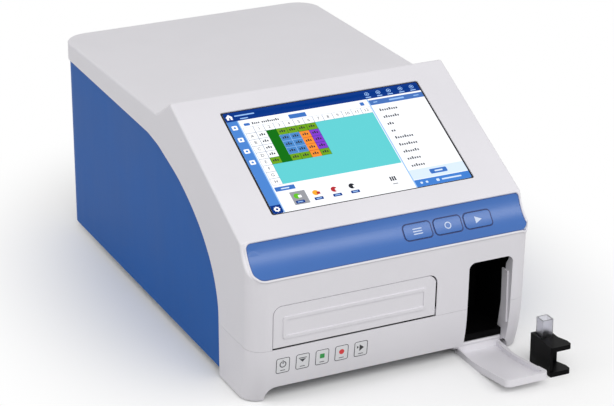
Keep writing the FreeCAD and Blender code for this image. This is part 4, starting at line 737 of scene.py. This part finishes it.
def grid_of_wells(sheet, step):
    """Head row and column of white cells, coloured blocks of wells, and thin lines between them."""
    right = GRID_LEFT + GRID_COLUMN * GRID_COLUMNS
    head_bottom = GRID_TOP - GRID_HEAD
    bottom = head_bottom - GRID_ROW * GRID_ROWS
    patch(sheet, (GRID_LEFT, bottom, right, GRID_TOP, SHARP, "line", 1), step)
    for column in range(GRID_COLUMNS):
        x = GRID_LEFT + GRID_COLUMN * column
        cell(sheet, x, head_bottom, GRID_HEAD, "cell", 2, step)
        if column:
            head_letter(sheet, str(column), x, head_bottom + GRID_HEAD / 2, step)
    for row in range(GRID_ROWS):
        y = head_bottom - GRID_ROW * (row + 1)
        cell(sheet, GRID_LEFT, y, GRID_ROW, "cell", 2, step)
        head_letter(sheet, "ABCDEFGH"[row], GRID_LEFT, y + GRID_ROW / 2, step)
    patch(sheet, (GRID_LEFT + GRID_COLUMN, bottom, right, head_bottom, SHARP, "teal", 2), step)
    for first, last, top_row, low_row, ink in WELL_BLOCKS:
        patch(sheet, (GRID_LEFT + GRID_COLUMN * first, head_bottom - GRID_ROW * low_row,
                      GRID_LEFT + GRID_COLUMN * (last + 1), head_bottom - GRID_ROW * (top_row - 1), SHARP,
                      EDGES[ink], 3), step)
        for column in range(first, last + 1):
            for row in range(top_row, low_row + 1):
                x = GRID_LEFT + GRID_COLUMN * column
                y = head_bottom - GRID_ROW * row
                cell(sheet, x, y, GRID_ROW, ink, 4, step)
                if ink != "pine":
                    word(sheet, x + 2.2, y + GRID_ROW / 2, 3, 3.2, "dark", 5, step)


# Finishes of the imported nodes

def finishes(colours):
    """One material for each slot of the record."""
    cover = tuple(colours.cover)
    return {
        "cover_white": moulded("moulded_white", cover, 0.42, 0.000012, 0.975, 0.4),
        "panel_blue": moulded("panel_blue_satin", tuple(colours.panel), 0.46, 0.00002, 0.93, 0.12),
        "band_blue": moulded("band_blue_gloss", tuple(colours.band), 0.36, 0.000006, 0.96, 0.75),
        "touch_glass": touch_glass("touch_glass_black"),
        "display_face": moulded("display_backing", rgb(90, 92, 98), 0.3, 0.000004),
        "key_label": moulded("key_film", tuple(colours.label), 0.36, 0.000004, 0.98, 0.4, 2600.0),
        "steel": worked_metal("ground_steel", rgb(186, 187, 190), 0.28, (40.0, 900.0, 900.0)),
        "aluminium": worked_metal("satin_aluminium", rgb(200, 202, 206), 0.38, (700.0, 30.0, 700.0)),
        "bronze": worked_metal("sintered_bronze", rgb(176, 132, 74), 0.44, (900.0, 900.0, 900.0)),
        "black_metal": moulded("black_anodised", rgb(30, 30, 33), 0.44, 0.00001, 0.8),
        "chassis_metal": galvanised("zinc_plate", tuple(colours.zinc)),
        "black_plastic": moulded("black_plastic", tuple(colours.black), 0.42, 0.00001, 0.8, 0.06),
        "pulley_metal": worked_metal("turned_pulley", rgb(186, 187, 192), 0.30, (900.0, 20.0, 20.0)),
        "rubber": moulded("soft_rubber", rgb(26, 26, 27), 0.72, 0.00005, 0.82, 0.3, 900.0),
        "circuit_board": circuit("solder_mask"),
        "optical_glass": clear("coated_glass", rgb(214, 232, 236), 0.04),
        "cuvette_clear": clear("clear_polystyrene", rgb(240, 240, 246), 0.30),
    }


class READER_OT_finishes(bpy.types.Operator):
    """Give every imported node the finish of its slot"""
    bl_idname = "reader.finishes"
    bl_label = "Finishes"

    def execute(self, context):
        made = finishes(context.scene.reader_colours)
        for part in frame["record"]["subparts"]:
            mesh = frame["nodes"][part["node"]].data
            mesh.materials.clear()
            mesh.materials.append(made[part["material_slot"]])
        return {"FINISHED"}


class READER_OT_screen_picture(bpy.types.Operator):
    """Lay the lit picture of bars, icons and a plate of wells on the touch glass"""
    bl_idname = "reader.screen_picture"
    bl_label = "Screen picture"

    def execute(self, context):
        step = context.scene.reader_sizes.ink_height
        sheet = Print(on_screen)
        for row in PATCHES:
            patch(sheet, row, step)
        for i, count in enumerate(LIST_LENGTHS):
            word(sheet, LIST_LEFT, LIST_TOP - LIST_PITCH * i, count, 3.6, "mark", 1, step)
        word(sheet, 26.5, 119.3, 4, 3.0, "dark", 1, step)
        word(sheet, 37.0, 119.3, 9, 3.0, "dark", 1, step)
        grid_of_wells(sheet, step)
        icons_of_bars(sheet, step)
        icons_under_grid(sheet, step)
        sheet.make("screen_picture", "root", printed("lit_picture", 1.08, 0.22, 0.05))
        return {"FINISHED"}


KEY_LIFT = 0.0003
KEY_CORNER = 2.4 * MM

# How far the outline's two edges lie inside the label
KEY_EDGES = (0.1 * MM, 0.8 * MM)
KEY_SYMBOL_RISE = 1.2 * MM
GREEN = rgb(20, 150, 60)
RED = rgb(220, 40, 44)
DARK = rgb(24, 24, 28)


class READER_OT_key_symbols(bpy.types.Operator):
    """Print the outlines and plain symbols on the five touch keys"""
    bl_idname = "reader.key_symbols"
    bl_label = "Key symbols"

    def execute(self, context):
        sizes = context.scene.reader_sizes
        ink = tuple(context.scene.reader_colours.ink)
        low = KEY_LIFT + sizes.ink_height * 0.1
        high = KEY_LIFT + sizes.ink_height
        y = sizes.key_z
        sheet = Print(on_front)
        for i, symbol in enumerate((self.switch, self.tray, self.square, self.disc, self.arrow)):
            x = sizes.key_first_x + i * sizes.key_pitch
            outer, inner = [rim(x, y, sizes.key_width, sizes.key_height, gap, KEY_CORNER, 6, 12)
                            for gap in KEY_EDGES]
            sheet.ring(outer, inner, ink, low, high)
            symbol(sheet, x, y + KEY_SYMBOL_RISE, ink, low, high)
            sheet.plate(about(x, y, -2.6, -5.9, 2.6, -5.1, 0.3), ink, low, high)
        sheet.make("key_symbols", "root", printed("key_ink"))
        return {"FINISHED"}

    def switch(self, sheet, x, y, ink, low, high):
        """Ring with a bar, and a patch of the label's colour that opens the ring round the bar."""
        step = high - KEY_LIFT
        label = tuple(bpy.context.scene.reader_colours.label)
        sheet.ring(disc_outline(x, y, 3.6 * MM), disc_outline(x, y, 2.6 * MM), ink, low, high)
        sheet.plate(about(x, y, -0.9, 1.6, 0.9, 4.6, 0.2), label, high, high + step)
        sheet.plate(about(x, y, -0.45, 0.4, 0.45, 4.6, 0.3), ink, high + step, high + 2 * step)

    def tray(self, sheet, x, y, ink, low, high):
        sheet.plate(corners_outline(x, y, (3.4, 1.6), (-3.4, 1.6), (0.0, -1.8)), ink, low, high)
        sheet.plate(about(x, y, -4.2, 2.4, 4.2, 3.3, 0.3), ink, low, high)

    def square(self, sheet, x, y, ink, low, high):
        sheet.plate(about(x, y, -2.5, -2.5, 2.5, 2.5, 0.4), GREEN, low, high)

    def disc(self, sheet, x, y, ink, low, high):
        sheet.plate(disc_outline(x, y, 2.8 * MM), RED, low, high)

    def arrow(self, sheet, x, y, ink, low, high):
        sheet.plate(corners_outline(x, y, (3.2, 0.0), (-1.6, 3.8), (-1.6, -3.8)), DARK, low, high)
        sheet.plate(corners_outline(x, y, (-2.2, 1.0), (-4.4, 2.6), (-4.4, -0.6)), DARK, low, high)


BUTTON_NAMES = ("button_left", "button_middle", "button_right")
BUTTON_PROUD = 0.0005


class READER_OT_button_symbols(bpy.types.Operator):
    """Print a plain symbol on each blue push button"""
    bl_idname = "reader.button_symbols"
    bl_label = "Button symbols"

    def execute(self, context):
        sizes = context.scene.reader_sizes
        ink = tuple(context.scene.reader_colours.button_ink)
        material = printed("button_ink")
        low = BUTTON_PROUD + sizes.ink_height * 0.1
        high = BUTTON_PROUD + sizes.ink_height
        y = sizes.button_from_foot
        for i, name in enumerate(BUTTON_NAMES):
            x = sizes.button_first_x + i * sizes.button_pitch
            sheet = Print(on_band)
            if i == 0:
                for row in (-2.6, 0.0, 2.6):
                    sheet.plate(about(x, y, -5.0, row - 0.5, 5.0, row + 0.5, 0.4), ink, low, high)
            elif i == 1:
                sheet.ring(disc_outline(x, y, 3.6 * MM), disc_outline(x, y, 2.6 * MM), ink, low, high)
            else:
                sheet.plate(corners_outline(x, y, (4.4, 0.0), (-3.0, 3.6), (-3.0, -3.6)), ink, low, high)
            sheet.make(name + "_symbol", name, material)
        return {"FINISHED"}


def band_outline(sizes, out, per_side):
    """Outline of the blue band on its hollow, grown outwards by a distance."""
    chord = math.hypot(*(BAND_HEAD - BAND_FOOT))
    corner = sizes.band_corner + out
    radii = (corner, corner, sizes.band_low_corner + out, corner)
    left = sizes.band_left - HALF_WIDTH - out
    right = HALF_WIDTH - sizes.band_right + out
    return rounded_outline(left, sizes.band_foot - out, right, chord - sizes.band_head + out, radii,
                           BAND_CORNER_STEPS, per_side)


BAND_CORNER_STEPS = 12
BAND_SEAM_STEPS = 160
BAND_LIP_STEPS = 60
BUTTON_CORNER = 3.6 * MM

# How far the edges of the line round a button lie outside it
BUTTON_EDGES = (1.4 * MM, 0.35 * MM)
BUTTON_LINE = rgb(14, 42, 104)

# Blue patches that fill the corners of the band
FILL_MARGIN = 1.0 * MM
FILL_CORNER = 0.2 * MM


class READER_OT_band_lines(bpy.types.Operator):
    """Draw the thin darker line round the hollow band and round each of its buttons"""
    bl_idname = "reader.band_lines"
    bl_label = "Band lines"

    def execute(self, context):
        sizes = context.scene.reader_sizes
        ink = tuple(context.scene.reader_colours.band_line)
        low = sizes.ink_height * 0.2
        high = sizes.ink_height
        sheet = Print(on_band)
        for i in range(len(BUTTON_NAMES)):
            x = sizes.button_first_x + i * sizes.button_pitch
            outer, inner = [rim(x, sizes.button_from_foot, sizes.button_width, sizes.button_height, -edge,
                                BUTTON_CORNER, 10, 10) for edge in BUTTON_EDGES]
            sheet.ring(outer, inner, BUTTON_LINE, low, high)
        sheet.make("band_lines", "root", printed("band_ink"))
        seam = Print(on_band_edge)
        outer = band_outline(sizes, 0.0, BAND_SEAM_STEPS)
        inner = band_outline(sizes, -sizes.seam_line, BAND_SEAM_STEPS)
        seam.ring(outer, inner, ink, low, high)
        seam.make("band_seam", "root", printed("seam_ink"))
        left = sizes.band_left - HALF_WIDTH
        right = HALF_WIDTH - sizes.band_right
        top = math.hypot(*(BAND_HEAD - BAND_FOOT)) - sizes.band_head
        foot = sizes.band_foot
        reach = sizes.band_low_corner + FILL_MARGIN
        sharp = FILL_CORNER
        fill = Print(on_band_edge)
        radii = (sharp, sizes.band_corner, sharp, sharp)
        corner = rounded_outline(left, top - reach, left + reach, top, radii, BAND_CORNER_STEPS, 8)
        fill.plate(corner, ink, 0.5 * low, low)
        radii = (sharp, sharp, sharp, sizes.band_corner)
        corner = rounded_outline(right - reach, foot, right, foot + reach, radii, BAND_CORNER_STEPS, 8)
        fill.plate(corner, ink, 0.5 * low, low)
        fill.make("band_corners", "root", bpy.data.materials["band_blue_gloss"])
        return {"FINISHED"}


class READER_OT_band_lip(bpy.types.Operator):
    """Run the fine white bead round the hollow band"""
    bl_idname = "reader.band_lip"
    bl_label = "Band lip"

    def execute(self, context):
        sizes = context.scene.reader_sizes
        cover = tuple(context.scene.reader_colours.cover)
        sheet = Print(on_band_edge)
        rise = BAND_HEAD - BAND_FOOT
        up = np.array([0.0, -rise[1], rise[0]]) / np.hypot(*rise)
        sheet.bead(band_outline(sizes, sizes.lip_radius, BAND_LIP_STEPS), sizes.lip_radius, cover, up)
        lip = moulded("moulded_lip", cover, 0.36, 0.000004, 0.985, 0.4)
        sheet.make("band_lip", "root", lip)
        return {"FINISHED"}


# Lamps: name, place, width and height, and the setting with its power
LAMPS = (
    ("key_lamp", (-0.55, -1.85, 1.85), (1.8, 1.8), "key_power"),
    ("side_lamp", (-2.2, 0.3, 1.0), (1.2, 1.2), "side_power"),
    ("strip_lamp", (0.95, -1.50, 1.42), (1.7, 0.7), "strip_power"),
)
LAMP_AIM_Z = 0.12
FLOOR_RADIUS = 12.0
FLOOR_STEPS = 64

# The floor turns into plain white between these distances, sooner to the sides
FLOOR_WHITE = (0.24, 0.56)
FLOOR_SIDES = 2.2


class READER_OT_stage(bpy.types.Operator):
    """Set the floor, the soft lamps, the white background and the camera"""
    bl_idname = "reader.stage"
    bl_label = "Studio and camera"

    def execute(self, context):
        scene = context.scene
        stage = scene.reader_stage
        scene.view_settings.view_transform = "Standard"
        self.floor(scene)
        self.world(scene, stage)
        for name, spot, size, setting in LAMPS:
            self.lamp(scene, name, spot, size, getattr(stage, setting))
        self.camera(scene, stage)
        return {"FINISHED"}

    def floor(self, scene):
        """Flat disc: radius times (cos, sin) round the object, closed by a fan."""
        edge = disc_outline(0.0, 0.0, FLOOR_RADIUS, FLOOR_STEPS)
        points = np.vstack([np.column_stack([edge, np.zeros(FLOOR_STEPS)]), np.zeros((1, 3))])
        here = np.arange(FLOOR_STEPS)
        faces = np.stack([here, np.roll(here, -1), np.full(FLOOR_STEPS, FLOOR_STEPS)], axis=-1)
        mesh = bpy.data.meshes.new("studio_floor")
        mesh.from_pydata(points, [], faces.tolist())
        piece = bpy.data.objects.new("studio_floor", mesh)
        scene.collection.objects.link(piece)
        graph = Graph("studio_floor")
        place = graph.place()
        x, y, z = graph.axes(place)
        reach = (x * x * FLOOR_SIDES + y * y) ** 0.5
        seen = self.seen(graph)
        pale = graph.mix(seen, (0.5, 0.5, 0.5, 1.0), (0.97, 0.97, 0.97, 1.0))
        matt = graph.node("ShaderNodeBsdfDiffuse", None, {"Color": pale})
        white = graph.node("ShaderNodeEmission", None, {"Color": (1.0, 1.0, 1.0, 1.0), "Strength": 1.0})
        share = seen * reach.ramp(*FLOOR_WHITE)
        mixed = graph.node("ShaderNodeMixShader", None, {0: share, 1: matt, 2: white})
        mesh.materials.append(graph.output(mixed))

    def seen(self, graph):
        """1 where the ray shows the background: straight, mirrored or through glass."""
        kinds = [graph.node("ShaderNodeLightPath", output=name)
                 for name in ("Is Camera Ray", "Is Glossy Ray", "Is Transmission Ray")]
        return kinds[0].larger(kinds[1]).larger(kinds[2])

    def world(self, scene, stage):
        scene.world = bpy.data.worlds.new("studio_light")
        scene.world.use_nodes = True
        graph = Graph("studio_light", scene.world.node_tree)
        seen = self.seen(graph)
        strength = stage.sky + seen * (1.0 - stage.sky)
        white = (1.0, 1.0, 1.0, 1.0)
        light = graph.node("ShaderNodeBackground", None, {"Color": white, "Strength": strength})
        out = graph.nodes.new("ShaderNodeOutputWorld")
        graph.links.new(light.socket, out.inputs["Surface"])

    def lamp(self, scene, name, spot, size, power):
        data = bpy.data.lights.new(name, "AREA")
        data.shape = "RECTANGLE"
        data.size, data.size_y = size
        data.energy = power
        lamp = bpy.data.objects.new(name, data)
        scene.collection.objects.link(lamp)
        lamp.location = spot
        away = lamp.location.copy()
        away.z -= LAMP_AIM_Z
        lamp.rotation_euler = away.to_track_quat("Z", "Y").to_euler()

    def camera(self, scene, stage):
        data = bpy.data.cameras.new("camera")
        data.sensor_width = 36.0
        data.lens = stage.lens
        data.clip_end = 50.0
        camera = bpy.data.objects.new("camera", data)
        scene.collection.objects.link(camera)
        camera.location = (MIDDLE_X + stage.camera_x, ZERO_Y + stage.camera_y, stage.camera_z)
        camera.rotation_euler = (math.pi / 2 - stage.pitch, 0.0, -stage.yaw)
        scene.camera = camera


STEPS = (READER_OT_stage, READER_OT_finishes, READER_OT_screen_picture, READER_OT_key_symbols,
         READER_OT_button_symbols, READER_OT_band_lines, READER_OT_band_lip)


class READER_PT_panel(bpy.types.Panel):
    """Steps and sizes of the microplate reader"""
    bl_label = "Microplate reader"
    bl_idname = "READER_PT_panel"
    bl_space_type = "VIEW_3D"
    bl_region_type = "UI"
    bl_category = "Reader"

    def draw(self, context):
        for step in STEPS:
            self.layout.operator(step.bl_idname)
        for group in (context.scene.reader_colours, context.scene.reader_sizes, context.scene.reader_stage):
            box = self.layout.box()
            for name in group.__annotations__:
                box.prop(group, name)


CLASSES = (ReaderColours, ReaderSizes, ReaderStage, *STEPS, READER_PT_panel)


def register():
    for item in CLASSES:
        bpy.utils.register_class(item)
    bpy.types.Scene.reader_colours = bpy.props.PointerProperty(type=ReaderColours)
    bpy.types.Scene.reader_sizes = bpy.props.PointerProperty(type=ReaderSizes)
    bpy.types.Scene.reader_stage = bpy.props.PointerProperty(type=ReaderStage)


def unregister():
    del bpy.types.Scene.reader_stage
    del bpy.types.Scene.reader_sizes
    del bpy.types.Scene.reader_colours
    for item in reversed(CLASSES):
        bpy.utils.unregister_class(item)


def main():
    register()
    bpy.ops.reader.stage()
    bpy.ops.reader.finishes()
    bpy.ops.reader.screen_picture()
    bpy.ops.reader.key_symbols()
    bpy.ops.reader.button_symbols()
    bpy.ops.reader.band_lines()
    bpy.ops.reader.band_lip()


if __name__ == "__main__":
    main()
